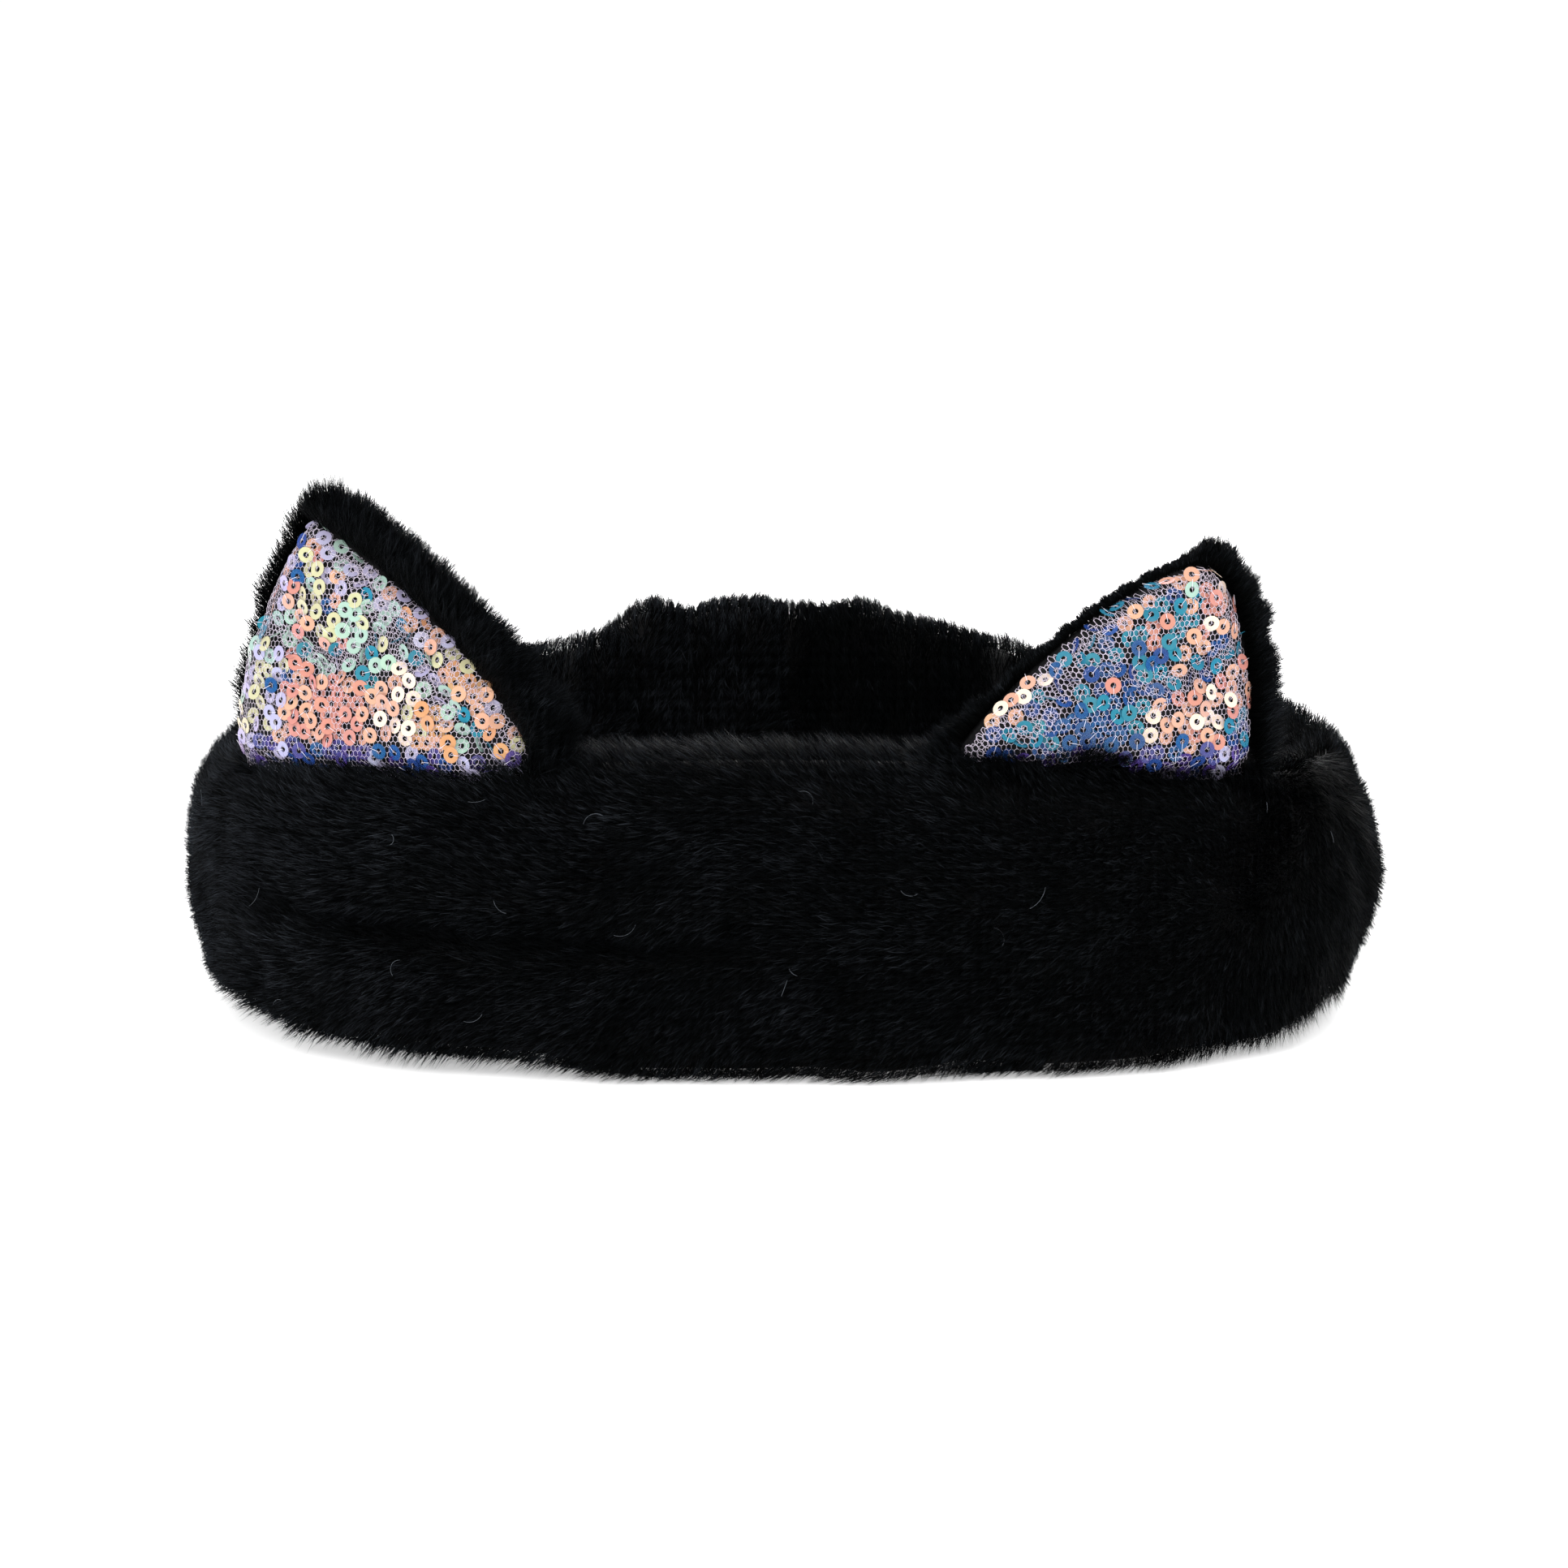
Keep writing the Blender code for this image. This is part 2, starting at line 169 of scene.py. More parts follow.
def add_node(tree: bpy.types.NodeTree, kind: str, **values: object) -> bpy.types.Node:
    """Add a shader node with its settings and links.

    Args:
        tree: The material's node tree.
        kind: The node's type name without its ShaderNode prefix.
        **values: Node properties, and for each socket, with spaces as underscores, its
            value or the output to link it to.

    Returns:
        The new node.
    """
    node = tree.nodes.new("ShaderNode" + kind)
    for key, value in values.items():
        label = key.replace("_", " ")
        if label not in node.inputs:
            setattr(node, key, value)
        elif isinstance(value, bpy.types.NodeSocket):
            tree.links.new(value, node.inputs[label])
        else:
            node.inputs[label].default_value = value
    return node


def blank_material(name: str, **values: object) -> tuple[bpy.types.Material, bpy.types.Node]:
    """Make a material whose only shader is a Principled BSDF.

    Args:
        name: The material's name.
        **values: Socket values of the shader, with spaces as underscores.

    Returns:
        The material and its shader node.
    """
    made = bpy.data.materials.new(name)
    made.use_nodes = True
    shader = made.node_tree.nodes["Principled BSDF"]
    for key, value in values.items():
        shader.inputs[key.replace("_", " ")].default_value = value
    return made, shader


@dataclass(frozen=True)
class FauxFur:
    """Dyed acrylic pile: near black, with painted shade darkest at the root and a cool painted
    sheen along the tips.
    """

    name: str
    # root to tip: painted shade deep in the pile, paling to a painted sheen at the tips
    root: str = "010101"
    middle: str = "030404"
    tip: str = "0c0e10"
    # painted highlight: the pale grey of light glinting off a few fibre tips
    painted_highlight_tip: str = "43484f"
    roughness: float = 0.50
    shine: float = 0.015

    def make(self) -> bpy.types.Material:
        """Build the finish: v of the pile's map runs root to tip, u picks the fibre.

        Returns:
            The material.
        """
        made, shader = blank_material(
            self.name, Roughness=self.roughness, Specular_IOR_Level=self.shine
        )
        tree = made.node_tree
        spot = add_node(tree, "UVMap", uv_map="OFBake")
        axes = add_node(tree, "SeparateXYZ", Vector=spot.outputs["UV"])
        # each fibre is coloured darkest deep in the pile, a painted shade, and lightest at its tip,
        # a painted sheen
        length = add_node(tree, "ValToRGB", Fac=axes.outputs["Y"])
        ramp = length.color_ramp
        ramp.elements[0].color = linear(self.root)
        ramp.elements[1].color = linear(self.tip)
        ramp.elements.new(0.55).color = linear(self.middle)
        # painted highlights: a few fibres are coloured paler at their tips, as the short glints of
        # light that fur throws
        across, along = axes.outputs["X"], axes.outputs["Y"]
        pale = add_node(tree, "MapRange", Value=across, From_Min=0.66, From_Max=1.0, To_Max=0.9)
        high = add_node(tree, "MapRange", Value=along, From_Min=0.5, From_Max=1.0)
        both = add_node(tree, "Math", operation="MULTIPLY")
        for socket, part in zip(both.inputs, (pale, high)):
            tree.links.new(part.outputs["Result"], socket)
        mix = add_node(
            tree, "Mix", data_type="RGBA", Factor=both.outputs["Value"],
            A=length.outputs["Color"], B=linear(self.painted_highlight_tip),
        )
        tree.links.new(mix.outputs["Result"], shader.inputs["Base Color"])
        return made


@dataclass(frozen=True)
class WovenCloth:
    """Plain woven or knitted cloth: fine crossing threads that catch a little light."""

    name: str
    dark: str
    light: str
    pitch: float
    roughness: float = 0.85
    bump: float = 0.25

    def make(self) -> bpy.types.Material:
        """Build the finish: two crossed waves at the thread pitch, in colour and bump.

        Returns:
            The material.
        """
        made, shader = blank_material(
            self.name, Roughness=self.roughness, Specular_IOR_Level=0.2
        )
        tree = made.node_tree
        place = add_node(tree, "TexCoord").outputs["Object"]
        weave = add_node(tree, "Math", operation="MULTIPLY")
        for direction, socket in zip("XZ", weave.inputs):
            # one wave of the node is 2 pi / 20 units long, so 0.314 / pitch gives the pitch
            wave = add_node(
                tree, "TexWave", bands_direction=direction, Scale=0.314 / self.pitch,
                Distortion=1.2, Detail=1.0, Vector=place,
            )
            tree.links.new(wave.outputs["Fac"], socket)
        woven = weave.outputs["Value"]
        mix = add_node(
            tree, "Mix", data_type="RGBA", Factor=woven, A=linear(self.dark), B=linear(self.light)
        )
        tree.links.new(mix.outputs["Result"], shader.inputs["Base Color"])
        depth = self.pitch * 0.3
        bump = add_node(tree, "Bump", Strength=self.bump, Distance=depth, Height=woven)
        tree.links.new(bump.outputs["Normal"], shader.inputs["Normal"])
        return made


@dataclass(frozen=True)
class SpunThread:
    """Twisted sewing thread: a slightly shiny filament with a fine spiral."""

    name: str
    colour: str
    roughness: float = 0.5

    def make(self) -> bpy.types.Material:
        """Build the finish: a diagonal wave for the twist, as bump only.

        Returns:
            The material.
        """
        made, shader = blank_material(
            self.name, Base_Color=linear(self.colour), Roughness=self.roughness
        )
        tree = made.node_tree
        place = add_node(tree, "TexCoord").outputs["Object"]
        twist = add_node(tree, "TexWave", bands_direction="DIAGONAL", Scale=800.0, Vector=place)
        ridge = twist.outputs["Fac"]
        bump = add_node(tree, "Bump", Strength=0.3, Distance=0.0001, Height=ridge)
        tree.links.new(bump.outputs["Normal"], shader.inputs["Normal"])
        return made


@dataclass(frozen=True)
class SequinFilm:
    """Punched iridescent film: a clear tinted ring with a bright, sharp reflection."""

    name: str
    colour: str
    alpha: float = 0.68
    roughness: float = 0.22

    def make(self) -> bpy.types.Material:
        """Build the finish: a see-through tint under a glossy interference film.

        Returns:
            The material.
        """
        made, _ = blank_material(
            self.name,
            Base_Color=linear(self.colour),
            Roughness=self.roughness,
            Alpha=self.alpha,
            Thin_Film_Thickness=420.0,
            Thin_Film_IOR=1.33,
        )
        return made


@dataclass(frozen=True)
class PolyesterNet:
    """White monofilament tulle: fine pale lilac-white threads with a soft shine."""

    name: str
    colour: str = "d3c8d8"
    roughness: float = 0.38

    def make(self) -> bpy.types.Material:
        """Build the finish: one pale tint, since each thread is a tenth of a millimetre.

        Returns:
            The material.
        """
        made, _ = blank_material(
            self.name, Base_Color=linear(self.colour), Roughness=self.roughness
        )
        return made


Look = FauxFur | WovenCloth | SpunThread | SequinFilm | PolyesterNet
MADE: dict[str, bpy.types.Material] = {}


def finish(look: Look) -> bpy.types.Material:
    """Return a finish's material, made once.

    Args:
        look: The finish.

    Returns:
        Its material.
    """
    if look.name not in MADE:
        MADE[look.name] = look.make()
    return MADE[look.name]


FUR = FauxFur("black_faux_fur_pile")
LINT = SpunThread("pale_stray_fibre", "70767f")
BACKING = WovenCloth("black_knit_fur_backing", "020203", "0a0b0d", 0.0008)
INK_CLOTH = WovenCloth("black_satin_ear_backing", "030305", "0e0e13", 0.0003, 0.55, 0.15)
WADDING = WovenCloth("white_polyester_wadding", "cfd0cd", "f2f2ee", 0.003)
ELASTIC = WovenCloth("black_braided_elastic", "050506", "1d1d20", 0.0012, 0.7, 0.5)
THREAD = SpunThread("black_sewing_thread", "101013")
CLEAR_THREAD = SpunThread("clear_nylon_thread", "e6e2ee", 0.25)
NET = PolyesterNet("white_tulle_net")


class Tint(Enum):
    """The film colours painted on the sequins: painted reflections of the film, by how they catch
    the light.
    """

    PEACH = "dba68e"
    CORAL = "d28c80"
    ORANGE = "d69a70"
    # a painted highlight: the cream-white glare of film that faces the light
    CREAM = "fbe3cf"
    YELLOW = "d0caa2"
    MINT = "adc8bb"
    LILAC = "bab3d2"
    TEAL = "2e7d99"
    # a deep blue, made darker to paint the shade over the right ear's lower left
    ROYAL = "264488"
    VIOLET = "503b88"


@dataclass(frozen=True)
class Glint:
    """A patch of an ear painted in one family of the colours that its film reflects to the eye.

    Places are shares: across the ear from -1 to 1, and up it from 0 to 1.
    """

    across: float
    up: float
    reach: float
    tints: tuple[Tint, ...]

    def away(self, across: float, up: float) -> float:
        """Return how far a place is from the patch, in reaches."""
        return math.hypot((across - self.across) * 0.7, up - self.up) / self.reach


# painted reflections of the film, patch by patch; the cream-white tint is a painted highlight
GLINTS = {
    "ear_left": (
        Glint(0.30, 0.20, 0.17, (Tint.CREAM, Tint.CREAM, Tint.CREAM, Tint.PEACH)),
        Glint(-0.25, 0.27, 0.30, (Tint.CORAL, Tint.CORAL, Tint.PEACH)),
        Glint(-0.85, 0.30, 0.24, (Tint.YELLOW, Tint.LILAC, Tint.MINT, Tint.YELLOW)),
        Glint(0.55, 0.08, 0.20, (Tint.YELLOW, Tint.ORANGE, Tint.PEACH)),
        Glint(-0.20, 0.60, 0.22, (Tint.YELLOW, Tint.MINT, Tint.YELLOW, Tint.PEACH)),
        Glint(0.25, 0.48, 0.16, (Tint.MINT, Tint.YELLOW, Tint.MINT)),
        Glint(0.20, 0.80, 0.22, (Tint.PEACH, Tint.CORAL, Tint.PEACH, Tint.LILAC)),
        Glint(0.85, 0.40, 0.24, (Tint.PEACH, Tint.LILAC, Tint.ORANGE, Tint.YELLOW)),
        Glint(-0.80, 0.70, 0.24, (Tint.MINT, Tint.ROYAL, Tint.LILAC, Tint.PEACH)),
    ),
    "ear_right": (
        # painted shade: the right ear's lower left is coloured in the darkest blues
        Glint(-0.40, 0.16, 0.34, (Tint.ROYAL, Tint.ROYAL, Tint.TEAL)),
        Glint(-0.30, 0.45, 0.22, (Tint.TEAL, Tint.TEAL, Tint.CORAL, Tint.ROYAL)),
        Glint(0.10, 0.66, 0.16, (Tint.TEAL, Tint.PEACH, Tint.TEAL)),
        Glint(0.55, 0.22, 0.30, (Tint.PEACH, Tint.CORAL, Tint.CREAM, Tint.PEACH)),
        Glint(0.55, 0.58, 0.24, (Tint.CORAL, Tint.PEACH, Tint.CREAM)),
        Glint(-0.85, 0.42, 0.26, (Tint.PEACH, Tint.CREAM, Tint.ORANGE, Tint.PEACH)),
        Glint(0.00, 0.95, 0.22, (Tint.PEACH, Tint.CREAM, Tint.MINT)),
        Glint(0.90, 0.06, 0.14, (Tint.ROYAL, Tint.TEAL)),
    ),
}


# ---- smooth fields ----------------------------------------------------------------
def ripple(x: np.ndarray, y: np.ndarray, size: float, seed: int) -> np.ndarray:
    """Return smooth seeded noise over a surface, from about -1 to 1.

    Args:
        x: First surface coordinate, in metres.
        y: Second surface coordinate, in metres.
        size: The width of a typical bump, in metres.
        seed: Picks one pattern.

    Returns:
        One value for each point.
    """
    random = np.random.default_rng(seed)
    total = np.zeros_like(x)
    waves = 9
    for _ in range(waves):
        angle = random.uniform(0, math.tau)
        pace = math.pi / (size * random.uniform(0.6, 1.5))
        phase = random.uniform(0, math.tau)
        total += np.sin(pace * (x * math.cos(angle) + y * math.sin(angle)) + phase)
    return total / math.sqrt(waves / 2) / 1.8


def ease(value: np.ndarray) -> np.ndarray:
    """Return the smooth step of a value clipped to 0..1."""
    value = np.clip(value, 0.0, 1.0)
    return value * value * (3.0 - 2.0 * value)


def unit(vectors: np.ndarray) -> np.ndarray:
    """Return the vectors scaled to length one."""
    return vectors / np.maximum(np.linalg.norm(vectors, axis=1, keepdims=True), 1e-12)


# ---- meshes -----------------------------------------------------------------------
def add_object(name: str, data: bpy.types.ID) -> bpy.types.Object:
    """Return a new object of a mesh, light or camera, linked to the scene.

    Args:
        name: The object's name.
        data: The mesh, light or camera.

    Returns:
        The object.
    """
    made = bpy.data.objects.new(name, data)
    bpy.context.scene.collection.objects.link(made)
    return made


Placer = Callable[[np.ndarray, np.ndarray], np.ndarray]


def mapped_grid(name: str, columns: int, rows: int, place: Placer) -> bpy.types.Object:
    """Lay a grid over a surface given by two shares, and close its seams and poles.

    Args:
        name: The new object's name.
        columns: Faces along the first share.
        rows: Faces along the second share.
        place: Gives the points of arrays of first and second shares, each 0..1.

    Returns:
        The new object, linked to the scene.
    """
    bm = bmesh.new()
    bmesh.ops.create_grid(bm, x_segments=columns, y_segments=rows, size=0.5)
    shares = np.array([vert.co for vert in bm.verts]) + 0.5
    for vert, point in zip(bm.verts, place(shares[:, 0], shares[:, 1])):
        vert.co = point
    bmesh.ops.remove_doubles(bm, verts=bm.verts, dist=1e-6)
    return finish_mesh(name, bm)


def finish_mesh(name: str, bm: bmesh.types.BMesh) -> bpy.types.Object:
    """Turn a bmesh into a smooth-shaded object whose faces point outwards.

    Args:
        name: The new object's name.
        bm: The mesh, which is freed.

    Returns:
        The new object, linked to the scene.
    """
    bmesh.ops.recalc_face_normals(bm, faces=bm.faces)
    mesh = bpy.data.meshes.new(name)
    bm.to_mesh(mesh)
    bm.free()
    mesh.shade_smooth()
    return add_object(name, mesh)


def bulk_mesh(
    name: str, points: np.ndarray, corners: np.ndarray, tints: np.ndarray | None = None
) -> bpy.types.Object:
    """Make an object of many small repeated shapes in one step.

    Args:
        name: The new object's name.
        points: All the corners' places, n by 3.
        corners: The faces' corners, m by 3 or m by 4.
        tints: A material index for each face, or None.

    Returns:
        The new object, linked to the scene.
    """
    mesh = bpy.data.meshes.new(name)
    sides = corners.shape[1]
    mesh.vertices.add(len(points))
    mesh.vertices.foreach_set("co", points.astype(np.float32).ravel())
    mesh.loops.add(corners.size)
    mesh.loops.foreach_set("vertex_index", corners.astype(np.int32).ravel())
    mesh.polygons.add(len(corners))
    mesh.polygons.foreach_set("loop_start", np.arange(0, corners.size, sides, dtype=np.int32))
    if tints is not None:
        mesh.polygons.foreach_set("material_index", tints.astype(np.int32))
    mesh.update(calc_edges=True)
    mesh.shade_smooth()
    return add_object(name, mesh)


@dataclass
class Roots:
    """Where strands of pile grow: their places and the surface's normals there."""

    place: np.ndarray
    normal: np.ndarray

    @staticmethod
    def on(made: bpy.types.Object, count: int, seed: int) -> Roots:
        """Scatter roots evenly over an object's faces.

        Args:
            made: The object, whose mesh lies in the shared frame.
            count: How many roots.
            seed: Picks one scatter.

        Returns:
            The roots.
        """
        mesh = made.data
        mesh.calc_loop_triangles()
        corners = Roots.read(mesh.loop_triangles, "vertices", np.int32)
        points = Roots.read(mesh.vertices, "co", np.float32).astype(float)
        normals = Roots.read(mesh.vertex_normals, "vector", np.float32).astype(float)
        a, b, c = (points[corners[:, i]] for i in range(3))
        areas = np.linalg.norm(np.cross(b - a, c - a), axis=1)
        random = np.random.default_rng(seed)
        chosen = corners[random.choice(len(corners), count, p=areas / areas.sum())]
        mix = random.random((count, 2))
        over = mix.sum(axis=1) > 1
        mix[over] = 1 - mix[over]
        weights = np.column_stack([1 - mix.sum(axis=1), mix])
        place = np.einsum("ij,ijk->ik", weights, points[chosen])
        normal = unit(np.einsum("ij,ijk->ik", weights, normals[chosen]))
        return Roots(place, normal)

    @staticmethod
    def read(items: bpy.types.bpy_prop_collection, key: str, kind: type) -> np.ndarray:
        """Return three numbers from each of a mesh's items, as rows.

        Args:
            items: The mesh's vertices, normals or triangles.
            key: The property that is read.
            kind: The numbers' type.

        Returns:
            The numbers, n by 3.
        """
        values = np.empty(len(items) * 3, kind)
        items.foreach_get(key, values)
        return values.reshape(-1, 3)

    def keep(self, mask: np.ndarray) -> Roots:
        """Return only the roots that the mask picks."""
        return Roots(self.place[mask], self.normal[mask])


@dataclass
class Lay:
    """How the pile lies at each root.

    nap is its direction, n by 3, and lift the degrees added to how far it stands up.
    reach is its share of the pile's length. sheen is painted light: how much paler, as a painted
    sheen, or darker, as a painted shade, the pile is coloured, from about -1 to 1.
    """

    nap: np.ndarray
    lift: np.ndarray
    reach: np.ndarray
    sheen: np.ndarray

    def keep(self, mask: np.ndarray) -> Lay:
        """Return only the lay of the roots that the mask picks."""
        return Lay(self.nap[mask], self.lift[mask], self.reach[mask], self.sheen[mask])


@dataclass(frozen=True)
class Pile:
    """How a patch of faux fur is cut: strand sizes in metres and lifts in degrees."""

    length: float = 0.0058
    width: float = 0.00013
    root_lift: float = 66.0
    tip_lift: float = 32.0
    clump_size: float = 0.0017
    clumping: float = 0.30
    unruly: float = 0.26

    def grow(self, name: str, roots: Roots, lay: Lay, seed: int) -> bpy.types.Object:
        """Grow one bent leaf-shaped strand, two triangles, at each root.

        The bmesh operators have no way to lay a hundred thousand strands, so this
        stamps the strand's four corners as arrays.

        Args:
            name: The new object's name.
            roots: Where the strands grow.
            lay: How they lie.
            seed: Picks one growth.

        Returns:
            The pile, with a map whose u picks a fibre colour and v runs root to tip.
        """
        random = np.random.default_rng(seed)
        count = len(roots.place)
        normal = roots.normal
        flat = unit(lay.nap - normal * np.sum(lay.nap * normal, axis=1, keepdims=True))
        across = np.cross(normal, flat)
        flat = unit(flat + across * random.normal(0, self.unruly, (count, 1)))
        across = np.cross(normal, flat)
        length = self.length * random.uniform(0.60, 1.14, (count, 1)) * lay.reach[:, None]
        base = np.radians(self.root_lift + lay.lift + random.normal(0, 9, count))[:, None]
        top = np.radians(self.tip_lift + lay.lift + random.normal(0, 9, count))[:, None]
        bend = roots.place + length * 0.45 * (normal * np.sin(base) + flat * np.cos(base))
        tip = bend + length * 0.55 * (normal * np.sin(top) + flat * np.cos(top))
        tuft, tone = self.tufts(tip, random)
        pull = (tuft - tip) * self.clumping
        tip = tip + pull
        bend = bend + pull * 0.35
        roll = random.normal(0, 0.6, (count, 1))
        wide = across * np.cos(roll) + normal * np.sin(roll)
        half = self.width / 2 * random.uniform(0.7, 1.3, (count, 1))
        points = np.stack([roots.place, bend - wide * half, bend + wide * half, tip], axis=1)
        points[:, :, 2] = np.maximum(points[:, :, 2], 0.0002)
        first = np.arange(count)[:, None] * 4
        corners = np.concatenate([first + [0, 2, 1], first + [1, 2, 3]], axis=1).reshape(-1, 3)
        made = bulk_mesh(name, points.reshape(-1, 3), corners)
        # a fibre's colour is partly its tuft's, mostly its own, then made paler or darker by the
        # painted sheen and shade
        u = 0.25 * tone + 0.75 * random.random(count) + 0.16 * lay.sheen
        u = np.clip(u, 0.0, 1.0) * 0.94 + 0.03
        self.map_fibres(made, u)
        made.data.materials.append(finish(FUR))
        return made

    def grow_pieces(
        self, stem: str, roots: Roots, lay: Lay, seed: int, key: np.ndarray
    ) -> list[bpy.types.Object]:
        """Grow the pile in pieces that stay under the limit on triangles.

        Args:
            stem: The start of the pieces' names.
            roots: Where the strands grow.
            lay: How they lie.
            seed: Picks the first piece's growth.
            key: A place for each root, by which they are shared out.

        Returns:
            The pieces.
        """
        share_out = np.array_split(np.argsort(key), math.ceil(len(key) / PIECE_STRANDS))
        return [
            self.grow(f"{stem}_pile_{i + 1}", roots.keep(chosen), lay.keep(chosen), seed + i)
            for i, chosen in enumerate(share_out)
        ]

    def tufts(self, tip: np.ndarray, random: np.random.Generator) -> tuple[np.ndarray, np.ndarray]:
        """Find the tuft that each tip leans to, and the tuft's own tone.

        Args:
            tip: The free tips.
            random: The growth's random numbers.

        Returns:
            The tufts' middles, n by 3, and a tone from 0 to 1 for each strand.
        """
        cell = np.floor(tip / self.clump_size).astype(np.int64)
        key = (cell[:, 0] * 73856093) ^ (cell[:, 1] * 19349663) ^ (cell[:, 2] * 83492791)
        _, where = np.unique(key, return_inverse=True)
        where = where.reshape(-1)
        members = np.maximum(np.bincount(where), 1)
        middle = np.stack([np.bincount(where, tip[:, i]) / members for i in range(3)], axis=1)
        return middle[where], random.random(len(members))[where]

    @staticmethod
    def map_fibres(made: bpy.types.Object, u: np.ndarray) -> None:
        """Write the pile's map: a narrow strip of it for each strand.

        Args:
            made: The pile's object.
            u: The place across the map for each strand.
        """
        side = 0.012
        corner_u = np.stack([u, u + side, u - side, u - side, u + side, u], axis=1)
        corner_v = np.tile([0.02, 0.45, 0.45, 0.45, 0.45, 0.98], (len(u), 1))
        layer = made.data.uv_layers.new(name="OFBake")
        layer.uv.foreach_set(
            "vector", np.stack([corner_u, corner_v], axis=2).astype(np.float32).ravel()
        )


# ---- the ring ---------------------------------------------------------------------
class Ring:
    """The ring's centre line in plan and its height, along its length from the front."""

    def __init__(self, sizes: RingSizes) -> None:
        """Tabulate the centre line of a ring of these sizes.

        Args:
            sizes: The ring's sizes.
        """
        self.sizes = sizes
        angle = np.linspace(-math.pi / 2, math.pi / 2, 4001)
        power = 2.0 / sizes.squareness
        self.x = sizes.half_width * np.abs(np.cos(angle)) ** power
        self.y = sizes.half_depth * np.sign(np.sin(angle)) * np.abs(np.sin(angle)) ** power
        self.x[0] = self.x[-1] = 0.0
        steps = np.hypot(np.diff(self.x), np.diff(self.y))
        self.arc = np.concatenate([[0.0], np.cumsum(steps)])
        self.full = float(self.arc[-1])
        self.side = float(np.interp(sizes.side_seam_y, self.y, self.arc))
        rear = self.y > 0
        self.rear = float(
            np.interp(-sizes.rear_casing_half_width, -self.x[rear], self.arc[rear])
        )

    def wrap(self, arc: np.ndarray) -> np.ndarray:
        """Return arc lengths brought into the range that runs from back to back."""
        return np.where(arc > self.full, arc - 2 * self.full, arc)

    def at(self, arc: np.ndarray) -> tuple[np.ndarray, np.ndarray, np.ndarray]:
        """Return points, outward normals and tangents at arc lengths.

        Args:
            arc: Arc lengths along the ring, 0 at the middle of the front.

        Returns:
            The points, normals and tangents, each n by 3.
        """
        arc = self.wrap(arc)
        side = np.where(arc < 0, -1.0, 1.0)
        x = np.interp(np.abs(arc), self.arc, self.x)
        y = np.interp(np.abs(arc), self.arc, self.y)
        rise = self.sizes.squareness - 1.0
        nx = (x / self.sizes.half_width) ** rise / self.sizes.half_width
        ny = np.sign(y) * np.abs(y / self.sizes.half_depth) ** rise / self.sizes.half_depth
        zero = np.zeros_like(x)
        normal = unit(np.stack([side * nx, ny, zero], axis=1))
        tangent = np.stack([-normal[:, 1], normal[:, 0], zero], axis=1)
        return np.stack([side * x, y, zero], axis=1), normal, tangent

    def height(self, arc: np.ndarray) -> np.ndarray:
        """Return the ring's height at arc lengths.

        Args:
            arc: Arc lengths along the ring, 0 at the middle of the front.

        Returns:
            One height for each.
        """
        sizes = self.sizes
        left = self.wrap(arc) < 0
        arc = np.abs(self.wrap(arc))
        front = sizes.front_height + (sizes.side_height - sizes.front_height) * ease(
            arc / self.side
        )
        front = front + sizes.front_rise * ease((0.066 - arc) / 0.030)
        share = ease((arc - self.side) / (self.rear - self.side))
        side = sizes.side_height + (sizes.rear_shoulder - sizes.side_height) * share
        # the casing's middle stands up in a broad hump, steeper on its left
        off = (self.full - arc) * np.where(left, -1.0, 1.0) - sizes.hump_centre
        ramp = np.where(off < 0, 0.024, 0.046)
        hump = ease((sizes.hump_flat + ramp - np.abs(off)) / ramp)
        hump = (sizes.rear_height - sizes.rear_shoulder) * hump
        return np.where(arc < self.side, front, side + hump)

    def arc_of(self, points: np.ndarray) -> np.ndarray:
        """Return the arc lengths nearest to points, by their direction in plan.

        Args:
            points: The points, n by 3.

        Returns:
            One arc length for each, negative on the left.
        """
        angle = np.arctan2(points[:, 1], np.abs(points[:, 0]))
        known = np.arctan2(self.y, self.x)
        arc = np.interp(angle, known, self.arc)
        return np.where(points[:, 0] < 0, -arc, arc)


class Stretch(Enum):
    """The lengths that the ring's fur is made in."""

    FRONT = "front"
    LEFT_GATHERS = "left_gathers"
    RIGHT_GATHERS = "right_gathers"
    REAR_CASING = "rear_casing"


